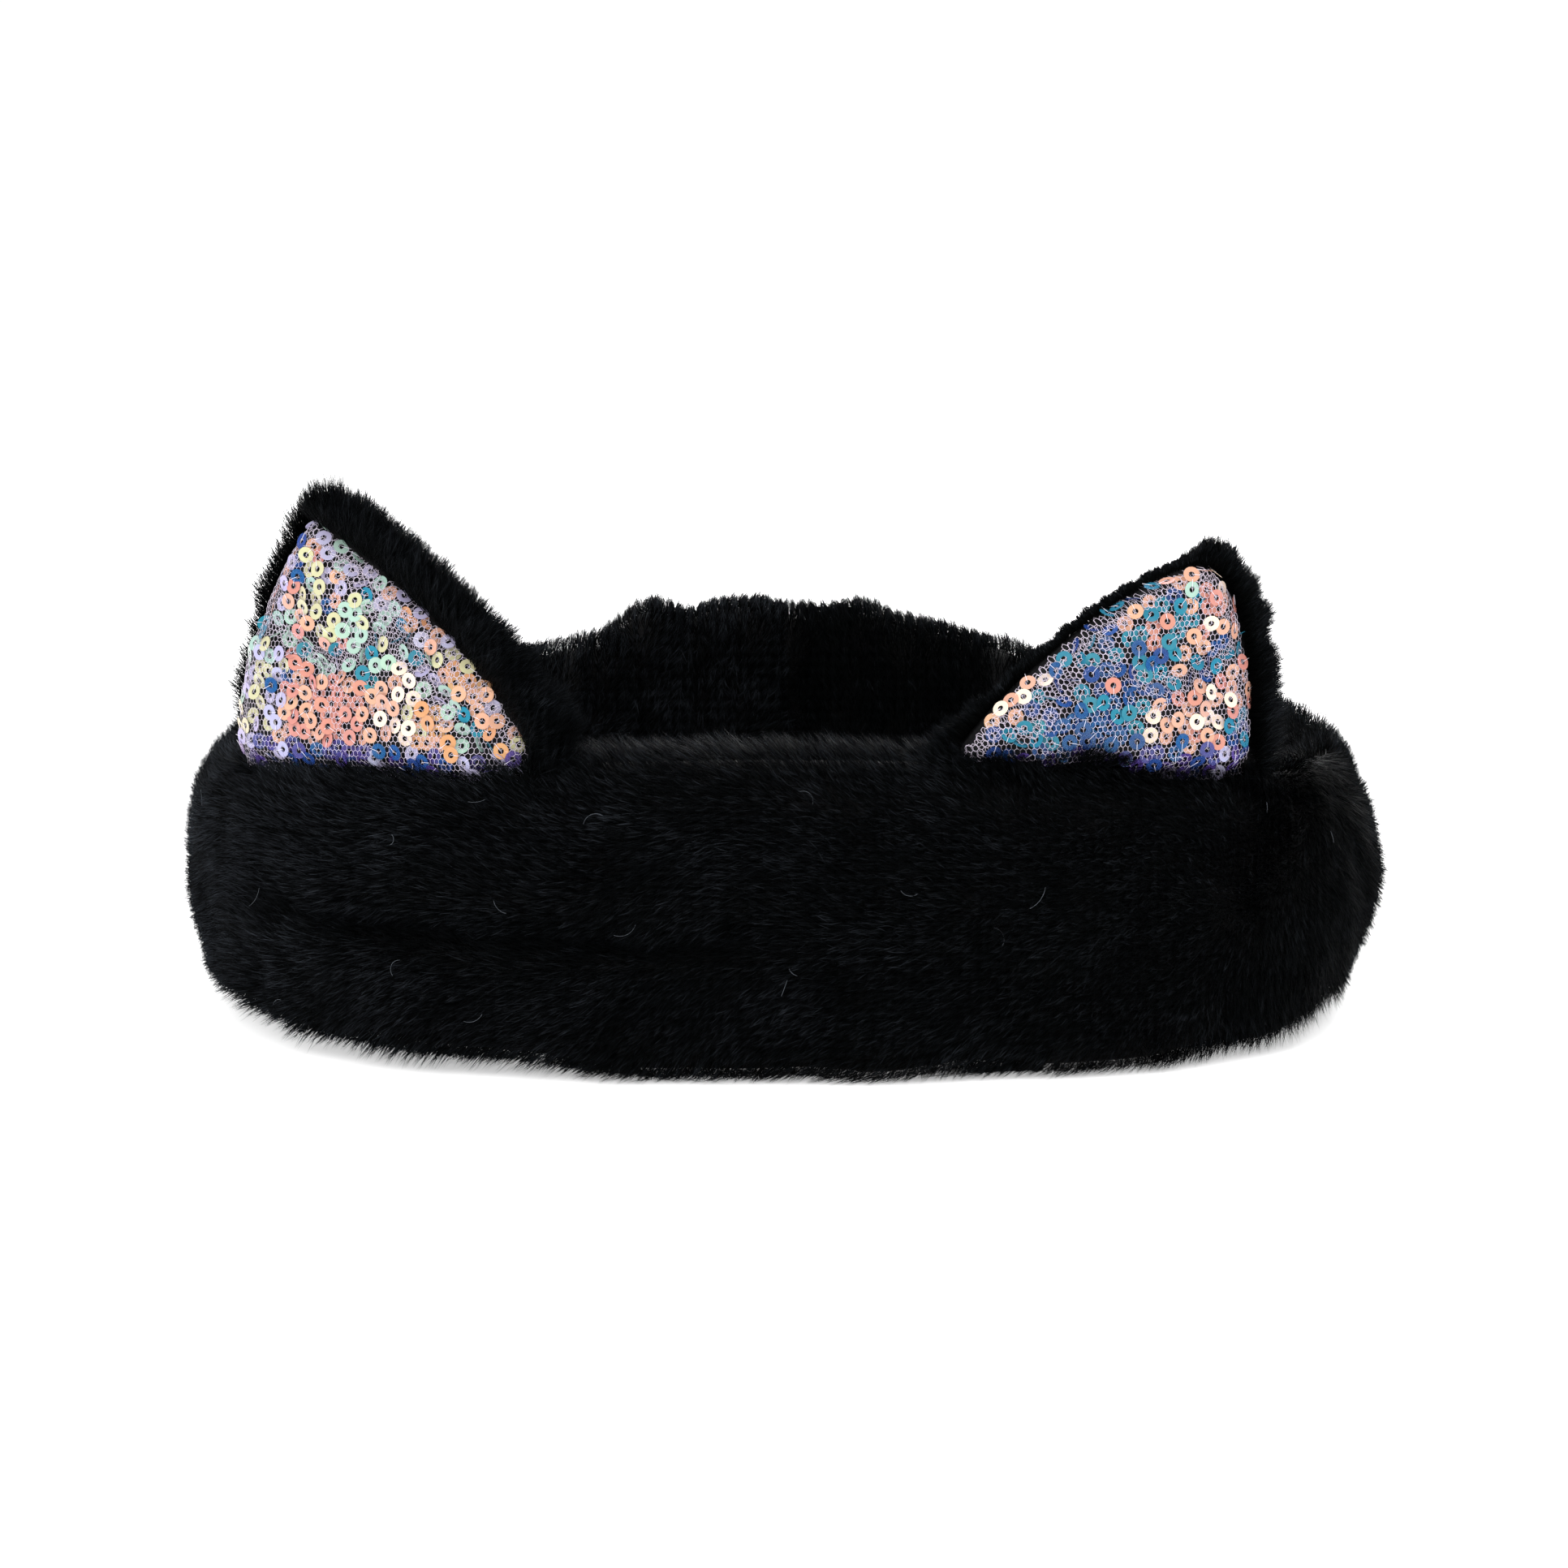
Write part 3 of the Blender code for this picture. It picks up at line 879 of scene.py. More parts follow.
@dataclass
class FurPanel:
    """One fur panel of the ring: its knitted backing and the pile that grows on it."""

    ring: Ring
    stretch: Stretch
    face: Face
    strands: int

    @property
    def node(self) -> str:
        """The CAD node that this panel stands for.

        Returns:
            The node's name.
        """
        if self.stretch is Stretch.FRONT:
            return f"front_{self.face.name.lower()}_panel"
        return f"{self.stretch.value}_{self.face.name.lower()}"

    @property
    def span(self) -> tuple[float, float]:
        """The arc lengths that the panel runs between.

        Returns:
            Its start and its end.
        """
        ring = self.ring
        return {
            Stretch.FRONT: (-ring.side, ring.side),
            Stretch.LEFT_GATHERS: (-ring.rear, -ring.side),
            Stretch.RIGHT_GATHERS: (ring.side, ring.rear),
            Stretch.REAR_CASING: (ring.rear, 2 * ring.full - ring.rear),
        }[self.stretch]

    def swell(self, arc: np.ndarray, level: np.ndarray) -> np.ndarray:
        """Return how far the backing stands out of its plain section.

        Args:
            arc: Arc lengths along the ring.
            level: Heights above the floor.

        Returns:
            Distances along the surface's normal.
        """
        arc = self.ring.wrap(arc)
        out = 0.0007 * ripple(arc, level, 0.028, 11) + 0.0004 * ripple(arc, level, 0.012, 12)
        if self.face is Face.OUTER:
            # the padded front sinks along a soft level crease on its left
            fade = ease((arc + 0.100) / 0.03) * ease((0.012 - arc) / 0.04)
            brow = np.exp(-(((level - 0.0345) / 0.0050) ** 2))
            out -= 0.0036 * fade * self.crease(arc, level)
            out += 0.0012 * fade * brow
            out -= 0.0016 * np.exp(-(((arc - 0.120) / 0.006) ** 2) - ((level - 0.026) / 0.007) ** 2)
            # the sides belly out at mid height and draw in towards the floor
            side = ease((np.abs(arc) - 0.065) / 0.06) * ease((0.230 - np.abs(arc)) / 0.05)
            low = np.clip((0.028 - level) / 0.028, 0.0, 1.0) ** 1.3
            high = np.clip((level - 0.026) / 0.024, 0.0, 1.0)
            drawn = np.where(arc > 0, 0.0085, 0.0065) * low
            out -= side * (drawn + np.where(arc > 0, 0.0054, 0.0024) * high)
        gather = ease((np.abs(arc) - self.ring.side) / 0.02)
        folds = ripple(arc, 0.15 * level, 0.0075, 21) + 0.5 * ripple(arc, 0.1 * level, 0.0042, 22)
        return out + 0.0012 * gather * folds

    @staticmethod
    def crease(arc: np.ndarray, level: np.ndarray) -> np.ndarray:
        """Return how near places are to the front's level crease, from 0 to 1."""
        course = 0.0265 + 0.0012 * np.sin(arc / 0.018)
        return np.exp(-(((level - course) / 0.0030) ** 2))

    def surface(self, arc: np.ndarray, run: np.ndarray) -> np.ndarray:
        """Return points of the panel's backing.

        Args:
            arc: Arc lengths along the ring.
            run: Shares down the section, 0 at the top seam and 1 at the bottom one.

        Returns:
            The points, n by 3.
        """
        sizes = self.ring.sizes
        point, normal, _ = self.ring.at(arc)
        half = sizes.band_half - sizes.pile
        hem = sizes.hem_radius
        along_ring = self.ring.wrap(arc)
        gather = ease((np.abs(along_ring) - self.ring.side) / 0.02)
        bob = 0.0016 * gather * ripple(along_ring, 0 * arc, 0.009, 31)
        top = self.ring.height(arc) - sizes.pile - half + bob
        # the hem hangs clear of the floor along the front's left
        loose = ease((-along_ring - 0.015) / 0.05) * ease((along_ring + 0.165) / 0.05)
        sole = sizes.sole + 0.0034 * loose
        low = sole + hem
        lengths = np.stack(
            [
                np.full_like(top, math.pi / 2 * half),
                top - low,
                np.full_like(top, math.pi / 2 * hem),
                np.full_like(top, half - hem),
            ]
        )
        ends = np.cumsum(lengths, axis=0)
        along = run * ends[-1]
        crown = math.pi / 2 - along / half
        turn = (along - ends[1]) / hem
        # the section runs over the crown, down the wall, round the hem and along the sole
        part = [along < ends[0], along < ends[1], along < ends[2]]
        out = np.select(
            part,
            [half * np.cos(crown), half + 0 * along, half - hem + hem * np.cos(turn)],
            half - hem - (along - ends[2]),
        )
        level = np.select(
            part,
            [top + half * np.sin(crown), top - (along - ends[0]), low - hem * np.sin(turn)],
            sole,
        )
        facing_out = np.select(part, [np.cos(crown), 1.0 + 0 * along, np.cos(turn)], 0.0)
        facing_up = np.select(part, [np.sin(crown), 0 * along, -np.sin(turn)], -1.0)
        swell = self.swell(arc, level) * ease(run / 0.12)
        out = (out + swell * facing_out) * self.face.value
        level = np.maximum(level + swell * facing_up, 0.0010)
        return point + normal * out[:, None] + UP * level[:, None]

    def backing(self) -> bpy.types.Object:
        """Make the knitted backing that the pile grows on.

        Returns:
            The backing, an open sheet.
        """
        start, end = self.span

        def place(u: np.ndarray, v: np.ndarray) -> np.ndarray:
            """Return the backing's points at shares along the ring and down it."""
            return self.surface(start + (end - start) * u, v)

        columns = round((end - start) / 0.0016)
        made = mapped_grid(self.node + "_backing", columns, 44, place)
        made.data.materials.append(finish(BACKING))
        return made

    def lay(self, roots: Roots) -> Lay:
        """Return how the pile lies at the panel's roots.

        Args:
            roots: The roots.

        Returns:
            The pile's lay.
        """
        place = roots.place
        arc = self.ring.arc_of(place)
        _, _, tangent = self.ring.at(arc)
        level = place[:, 2]
        share = level / self.ring.height(arc) - 0.5
        # the pile is brushed to the left and fans out to both edges
        turned = ease((arc - 0.060) / 0.09)
        across = -1.0 + 1.7 * turned
        rise = 1.3 * share - 3.0 * turned * (1.0 - turned)
        rise = rise + 0.45 * ripple(arc, level, 0.020, 41)
        across = across + 0.40 * ripple(arc, level, 0.024, 42)
        behind = ease((np.abs(arc) - self.ring.side) / 0.03)
        across = across * (1 - 0.75 * behind)
        rise = rise + behind * (0.9 + 0.6 * ripple(arc, level, 0.010, 43))
        direction = tangent * across[:, None] + UP * rise[:, None]
        lift = 9.0 * ripple(arc, level, 0.014, 44) + 6.0 * ripple(arc, level, 0.006, 45)
        # the hem's pile splays over the floor and the top seam's stands in ragged tufts
        hem = ease((0.014 - level) / 0.010)
        rim = ease((share - 0.36) / 0.08)
        lift = lift + 8.0 * hem + 9.0 * rim * (1.0 + ripple(arc, level, 0.004, 46))
        reach = 1.0 + 0.16 * hem + (0.06 - 0.34 * behind) * rim
        reach = reach + 0.12 * ripple(arc, level, 0.005, 47)
        # the sole's own pile is pressed flat and short
        reach = reach * (1.0 - 0.55 * ease((-roots.normal[:, 2] - 0.6) / 0.3))
        # painted sheen and shade: the pile is coloured paler where the light catches it, turning
        # over the top and round the left end, and darker towards the right
        sheen = 0.40 * ripple(arc, level, 0.009, 48) + 0.7 * rim
        sheen = sheen + 0.9 * ease((-arc - 0.02) / 0.10) - 0.6 * ease((arc - 0.03) / 0.08)
        # painted shade: the pile is coloured darker along the front's crease
        fade = ease((arc + 0.110) / 0.03) * ease((0.020 - arc) / 0.04)
        sheen = sheen - 1.6 * fade * self.crease(arc, level + 0.0012)
        # the pile round the back is coloured a little darker
        return Lay(direction, lift, reach, sheen - 0.25 * behind)

    def build(self) -> list[bpy.types.Object]:
        """Make the backing and its pile.

        Returns:
            The backing, with its wall, and the pile in pieces of under 200,000 triangles.
        """
        backing = self.backing()
        if self.faces_inwards(backing):
            backing.data.flip_normals()
        roots = Roots.on(backing, self.strands, 100 + len(self.node))
        pile = Pile()
        if self.stretch is not Stretch.FRONT:
            pile = Pile(
                length=0.0070, tip_lift=40.0, clumping=0.42, clump_size=0.0024, unruly=0.40
            )
        pieces = pile.grow_pieces(self.node, roots, self.lay(roots), 7, roots.place[:, 0])
        wall = backing.modifiers.new("wall", "SOLIDIFY")
        wall.thickness = 0.0010
        wall.offset = -1.0
        for made in [backing, *pieces]:
            self.attach(made)
        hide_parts(self.node)
        self.declare()
        return [backing, *pieces]

    def declare(self) -> None:
        """Work out the panel's section at its middle; nothing is made of it.
        """
        start, end = self.span
        run = np.linspace(0.0, 1.0, 60)
        section = self.surface(np.full_like(run, (start + end) / 2), run)

    def faces_inwards(self, backing: bpy.types.Object) -> bool:
        """Tell whether the open sheet's faces point into the padding.

        Args:
            backing: The knitted backing.

        Returns:
            True if its middle face points inwards.
        """
        middle = backing.data.polygons[len(backing.data.polygons) // 2]
        point = np.array([middle.center])
        _, normal, _ = self.ring.at(self.ring.arc_of(point))
        return float(normal[0] @ np.array(middle.normal)) * self.face.value < 0

    def attach(self, made: bpy.types.Object) -> None:
        """Hang a piece on the front or on the rear; a gathered piece is left on no body, its place
        baked into its mesh.

        Args:
            made: The piece.
        """
        if self.stretch is Stretch.FRONT:
            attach(made, "front_band")
        elif self.stretch is Stretch.REAR_CASING:
            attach(made, "rear_band")
        else:
            point, normal, _ = self.ring.at(np.array([self.ring.rear]))
            end_y = float(point[0, 1])
            if self.face is Face.INNER:
                end_y -= float(normal[0, 1]) * self.ring.sizes.band_half
            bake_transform(made)


@dataclass
class Wadding:
    """The pad inside the front, between the two furs."""

    ring: Ring

    def build(self) -> bpy.types.Object:
        """Make the pad, which thins out to its four edges.

        Returns:
            The pad.
        """
        outer, inner = (FurPanel(self.ring, Stretch.FRONT, face, 0) for face in Face)
        half_length = self.ring.side - 0.003

        def place(u: np.ndarray, v: np.ndarray) -> np.ndarray:
            """Return the pad's points: v runs down its outer face and up its inner one."""
            arc = half_length * (2 * u - 1)
            down = 1.0 - np.abs(2 * v - 1)
            run = 0.12 + 0.60 * down
            front, rear = outer.surface(arc, run), inner.surface(arc, run)
            middle = (front + rear) / 2
            plump = np.sin(math.pi * down) ** 0.4 * np.clip((1 - np.abs(2 * u - 1)) * 20, 0, 1)
            off = np.where((v < 0.5)[:, None], front - middle, rear - middle)
            return middle + off * 0.42 * plump[:, None]

        made = mapped_grid("front_padding", 160, 40, place)
        made.data.materials.append(finish(WADDING))
        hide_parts("front_wadding")
        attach(made, "front_band")
        return made


# ---- an ear -----------------------------------------------------------------------
class Ear:
    """One padded ear: fur behind and round the edge, black cloth and sequin net in front.

    Local places have x outwards along the foot, y towards the back and z up, about the
    middle of the foot's hinge line.
    """

    def __init__(self, sizes: EarSizes) -> None:
        """Take these sizes, and the ear's place from its joint.

        Args:
            sizes: The ear's sizes.
        """
        self.sizes = sizes
        joint = next(j for j in frame["joints"] if j["child"] == sizes.name)
        self.origin = np.array(joint["pos_m"])
        self.along = np.array(joint["axis"])
        self.back = np.cross(UP, self.along)

    def world(self, x: np.ndarray, y: np.ndarray, z: np.ndarray) -> np.ndarray:
        """Return local places in the shared frame."""
        return self.origin + self.along * x[:, None] + self.back * y[:, None] + UP * z[:, None]

    def outline(self, level: np.ndarray, inset: float) -> tuple[np.ndarray, np.ndarray]:
        """Return the outline's middle and half width at heights, drawn in by inset.

        Args:
            level: Heights above the hinge line.
            inset: How far inside the ear's edge the outline runs.

        Returns:
            The middles and the half widths.
        """
        sizes = self.sizes
        share = np.clip(level / (sizes.height - inset), 0.0, 1.0)
        half = (sizes.width / 2 - inset) * (1.0 - share**sizes.point) ** sizes.roundness
        lean = (np.maximum(level, 0.0) / sizes.height) ** sizes.shift_power
        return sizes.side * sizes.tip_shift * lean, half

    def net_outline(self, level: np.ndarray, margin: float) -> tuple[np.ndarray, np.ndarray]:
        """Return the net's middle and half width at heights, drawn in by margin."""
        middle, half = self.outline(np.maximum(level, 0), self.sizes.border + margin)
        return middle + self.sizes.net_shift, half

    def depth(self, level: np.ndarray) -> np.ndarray:
        """Return the ear's half thickness at heights; its foot is a half cylinder.

        Args:
            level: Heights above the hinge line.

        Returns:
            One half thickness for each.
        """
        sizes = self.sizes
        foot = np.sqrt(np.maximum(sizes.foot_radius**2 - np.minimum(level, 0) ** 2, 0))
        blade = sizes.foot_radius + (sizes.tip_depth - sizes.foot_radius) * level / sizes.height
        return np.where(level < 0, foot, blade)

    def fur_surface(self, turn: np.ndarray, rise: np.ndarray) -> np.ndarray:
        """Return points of the padded ear's fur backing.

        Args:
            turn: Shares round the section, 0 and 1 at the outer edge.
            rise: Shares from the foot to the tip.

        Returns:
            The points, n by 3.
        """
        sizes = self.sizes
        inset = sizes.skin_inset
        low = -sizes.foot_radius * 0.9
        level = low + (sizes.height - inset - low) * np.sin(rise * math.pi / 2)
        middle, half = self.outline(level, inset)
        middle = middle + sizes.fur_shift
        deep = np.maximum(self.depth(level) - 0.0022, 0.0004)
        deep = deep * np.sqrt(np.clip((1 - rise) * 12, 0.0, 1.0))
        power = 2.0 / sizes.section_power
        cos, sin = np.cos(turn * math.tau), np.sin(turn * math.tau)
        x = middle + np.sign(cos) * np.abs(cos) ** power * half
        y = np.sign(sin) * np.abs(sin) ** power * deep
        return self.world(x, y, level)

    def face_point(self, x: np.ndarray, level: np.ndarray, proud: float) -> np.ndarray:
        """Return points of the net's face at places across the ear.

        Args:
            x: Distances along the foot.
            level: Heights above the hinge line.
            proud: How far the point stands in front of the face.

        Returns:
            The points, n by 3.
        """
        middle, reach = self.net_outline(level, -0.0006)
        share = np.clip((x - middle) / np.maximum(reach, 1e-4), -1.15, 1.15)
        deep = np.where(level < 0, self.sizes.foot_radius, self.depth(level))
        drop = 0.24 * share**2 + 0.44 * share**8
        fold = self.fold(x, level)
        near_tip = np.clip((level / (self.sizes.height - self.sizes.border) - 0.78) / 0.22, 0, 1.2)
        tuck = np.clip(-level / 0.004, 0.0, 1.0) ** 2 * 0.0022
        y = -(deep * (1.0 - drop - 0.22 * near_tip**2) + fold + proud - tuck + 0.0006)
        return self.world(x, y, level)

    def fold(self, x: np.ndarray, level: np.ndarray) -> np.ndarray:
        """Return how far soft folds push the net's face forward.

        Args:
            x: Distances along the foot.
            level: Heights above the hinge line.

        Returns:
            One distance for each place.
        """
        slant, brow = self.fold_lines(x, level)
        valley = np.exp(-((slant / 0.0026) ** 2))
        across = np.exp(-((brow / 0.0024) ** 2)) * ease((0.001 - slant) / 0.006)
        bumps = 0.00035 * ripple(x, level, 0.010, 61 + self.sizes.side)
        return bumps - 0.0013 * valley - 0.0009 * across

    def fold_lines(self, x: np.ndarray, level: np.ndarray) -> tuple[np.ndarray, np.ndarray]:
        """Return distances from the long fold by the inner edge and the one across.

        Args:
            x: Distances along the foot.
            level: Heights above the hinge line.

        Returns:
            The distances from each of the two folds.
        """
        inner = -self.sizes.side * x
        reach = self.sizes.width / 2
        slant = (inner + 0.86 * level - 0.62 * reach) / 1.3
        brow = level - 0.46 * self.sizes.height - 0.10 * inner - 0.004 * np.sin(inner / 0.006)
        return slant, brow

    def inside(self, x: np.ndarray, level: np.ndarray, margin: float) -> np.ndarray:
        """Tell which places lie inside the net's outline, drawn in by margin.

        Args:
            x: Distances along the foot.
            level: Heights above the hinge line.
            margin: How far inside the net's edge a place has to lie.

        Returns:
            True for each place inside.
        """
        middle, reach = self.net_outline(level, margin)
        top = self.sizes.height - self.sizes.border - margin
        # the pile swallows the foot's inner half on the right
        foot = -0.0052 + self.sizes.buried * ease((0.013 - self.sizes.side * x) / 0.014)
        return (np.abs(x - middle) < reach) & (level < top) & (level > foot)

    def build(self) -> list[bpy.types.Object]:
        """Make all the ear's pieces.

        Returns:
            The backing and pile, the black cloth, the net and the sequins.
        """
        fur, cloth = self.fur(), self.cloth()
        sewn = [*self.net(), *SequinField(self).build()]
        pieces = [*fur, self.filling(), cloth, *sewn]
        for made in pieces:
            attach(made, self.sizes.name)
        return pieces

    def local(self, roots: Roots) -> tuple[np.ndarray, np.ndarray, np.ndarray, np.ndarray]:
        """Return the roots' local places, and their shares of the way to either edge.

        Args:
            roots: The roots.

        Returns:
            The x, y and z of each, and a share from -1 to 1.
        """
        place = roots.place - self.origin
        x, y, z = place @ self.along, place @ self.back, place[:, 2]
        middle, half = self.outline(np.maximum(z, 0.0), 0.0)
        return x, y, z, np.clip((x - middle) / np.maximum(half, 0.004), -1, 1)

    def wear(self, edge: np.ndarray, level: np.ndarray) -> np.ndarray:
        """Return how far the pile is worn down towards the inner edge and the tip.

        Args:
            edge: Shares of the way to either edge, -1 to 1.
            level: Heights above the hinge line.

        Returns:
            The share of the pile's length that is lost.
        """
        share = level / self.sizes.height
        inner = ease((0.35 - self.sizes.side * edge) / 0.5) * ease((share - 0.05) / 0.2)
        return self.sizes.worn * (inner + 0.45 * ease((share - 0.70) / 0.25))

    def fur(self) -> list[bpy.types.Object]:
        """Make the fur backing, and the pile everywhere but on the net's face.

        Returns:
            The backing and the pile's pieces.
        """
        sizes = self.sizes
        backing = mapped_grid(sizes.name + "_fur_backing", 64, 48, self.fur_surface)
        backing.data.materials.append(finish(BACKING))
        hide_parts(sizes.name + "_fur_back")
        roots = Roots.on(backing, 300000, 300 + sizes.side)
        x, _, z, edge = self.local(roots)
        bare = self.inside(x, z, -0.0003) & (roots.normal @ self.back < 0.1)
        # the rim shows against the light, so its pile is the densest
        spared = self.inside(x, z, 0.0010) | (z < -0.002)
        share = np.where(spared, 0.62, 0.5 * self.wear(edge, z))
        dropped = np.random.default_rng(310).random(len(x)) < share
        roots = roots.keep(~bare & ~dropped)
        x, y, z, edge = self.local(roots)
        across = 0.9 * edge + 0.35 * ripple(x, z, 0.012, 71)
        rise = 0.75 + 0.9 * np.clip(z / sizes.height, 0, 1) ** 2 + 0.3 * ripple(x, z, 0.014, 72)
        direction = self.along * across[:, None] + UP * rise[:, None]
        front = roots.normal @ self.back < -0.35
        lift = np.where(front, -4.0, 10.0) + 7.0 * ripple(x, z, 0.008, 73)
        reach = (1.0 + 0.20 * ripple(x, z, 0.0028, 74)) * (1.0 - self.wear(edge, z))
        # painted sheen in small patches, the whole a little darker, and paler towards the inner
        # edge and the tip as the pile there is shortened
        sheen = 0.4 * ripple(x, z, 0.006, 75) - 0.3 + 0.8 * self.wear(edge, z)
        pile = Pile(
            length=sizes.pile_length, width=0.00011, root_lift=66.0, tip_lift=46.0,
            clump_size=0.0017, clumping=0.34, unruly=0.42,
        )
        lay = Lay(direction, lift, reach, sheen)
        pieces = pile.grow_pieces(sizes.name, roots, lay, 8, y)
        return [backing, *pieces]

    def filling(self) -> bpy.types.Object:
        """Make the soft filling inside the ear.

        Returns:
            The filling.
        """

        def place(u: np.ndarray, v: np.ndarray) -> np.ndarray:
            """Return the fur backing's points, drawn in."""
            outer = self.fur_surface(u, v)
            local = outer - self.origin
            x, y, z = local @ self.along, local @ self.back, local[:, 2]
            middle, _ = self.outline(np.maximum(z, 0.0), 0.0)
            x = middle + self.sizes.fur_shift + (x - middle - self.sizes.fur_shift) * 0.90
            return self.world(x, y * 0.55, z * 0.94)

        made = mapped_grid(self.sizes.name + "_filling", 32, 24, place)
        made.data.materials.append(finish(WADDING))
        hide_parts(self.sizes.name + "_stuffing")
        return made

    def cloth(self) -> bpy.types.Object:
        """Make the black cloth that shows through the net.

        Returns:
            The cloth, with its wall.
        """
        sizes = self.sizes

        def place(u: np.ndarray, v: np.ndarray) -> np.ndarray:
            """Return the cloth's points at shares across the ear and up it."""
            level = sizes.cloth_foot + (sizes.height - sizes.border - sizes.cloth_foot) * v
            middle, reach = self.net_outline(level, -0.0002)
            x = middle + (2 * u - 1) * reach
            return self.face_point(x, level, -0.0010)

        made = mapped_grid(sizes.name + "_black_cloth", 40, 40, place)
        wall = made.modifiers.new("wall", "SOLIDIFY")
        wall.thickness = 0.0004
        made.data.materials.append(finish(INK_CLOTH))
        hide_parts(sizes.name + "_backing_cloth")
        return made

    def net(self) -> list[bpy.types.Object]:
        """Make the tulle: a whole layer, a folded hem round it and rucks along folds.

        Returns:
            The three layers.
        """
        whole = self.tulle("_tulle", 0.0, lambda x, z: self.inside(x, z, 0.0))

        def hem(x: np.ndarray, z: np.ndarray) -> np.ndarray:
            """Tell which cells lie in the folded edge."""
            return self.inside(x, z, -0.0002) & ~self.inside(x, z, 0.0026)

        def rucked(x: np.ndarray, z: np.ndarray) -> np.ndarray:
            """Tell which cells lie along a fold."""
            slant, brow = self.fold_lines(x, z)
            near = (np.abs(slant + 0.0004) < 0.0021) | (np.abs(brow) < 0.0016)
            return self.inside(x, z, 0.0020) & near & (z > 0.004)

        folded = self.tulle("_tulle_hem", 0.00035, hem, 0.35)
        ruck = self.tulle("_tulle_ruck", 0.00045, rucked, 0.90)
        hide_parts(self.sizes.name + "_sequin_net")
        return [whole, folded, ruck]

    def tulle(
        self, ending: str, proud: float,
        wanted: Callable[[np.ndarray, np.ndarray], np.ndarray], slant: float = 0.04,
    ) -> bpy.types.Object:
        """Make a layer of hexagonal net on the ear's face.

        Args:
            ending: Added to the ear's name.
            proud: How far the layer stands in front of the face.
            wanted: Tells which cells' middles are kept.
            slant: The net's turn in its own plane, in radians.

        Returns:
            The net.
        """
        sizes = self.sizes
        pitch, tall = sizes.cell_width, sizes.cell_height

        def turned(across: np.ndarray, up: np.ndarray) -> tuple[np.ndarray, np.ndarray]:
            """Return places turned by the net's slant."""
            cos, sin = math.cos(slant), math.sin(slant)
            return across * cos - up * sin, across * sin + up * cos

        bm = bmesh.new()
        rows = math.ceil(sizes.height / (0.75 * tall)) + 12
        columns = math.ceil(sizes.width / pitch) + 8
        j, i = np.meshgrid(np.arange(-6, rows), np.arange(-columns // 2, columns // 2))
        x = (i + 0.5 * (j % 2)).ravel() * pitch + sizes.side * sizes.tip_shift * 0.5
        x, z = turned(x, j.ravel() * 0.75 * tall - 0.002)
        chosen = wanted(x, z)
        angle = np.radians(60 * np.arange(6) + 30)
        cell = turned(pitch / math.sqrt(3) * np.cos(angle), tall / 2 * np.sin(angle))
        for cx, cz in zip(x[chosen], z[chosen]):
            bm.faces.new([bm.verts.new((cx + a, 0.0, cz + b)) for a, b in zip(*cell)])
        bmesh.ops.remove_doubles(bm, verts=bm.verts, dist=pitch * 0.18)
        flat = np.array([vert.co for vert in bm.verts])
        for vert, point in zip(bm.verts, self.face_point(flat[:, 0], flat[:, 2], proud)):
            vert.co = point
        bmesh.ops.wireframe(
            bm, faces=bm.faces, thickness=sizes.net_thread, offset=0.0, use_replace=True,
            use_boundary=True, use_even_offset=False,
        )
        made = finish_mesh(sizes.name + ending, bm)
        made.data.materials.append(finish(NET))
        return made


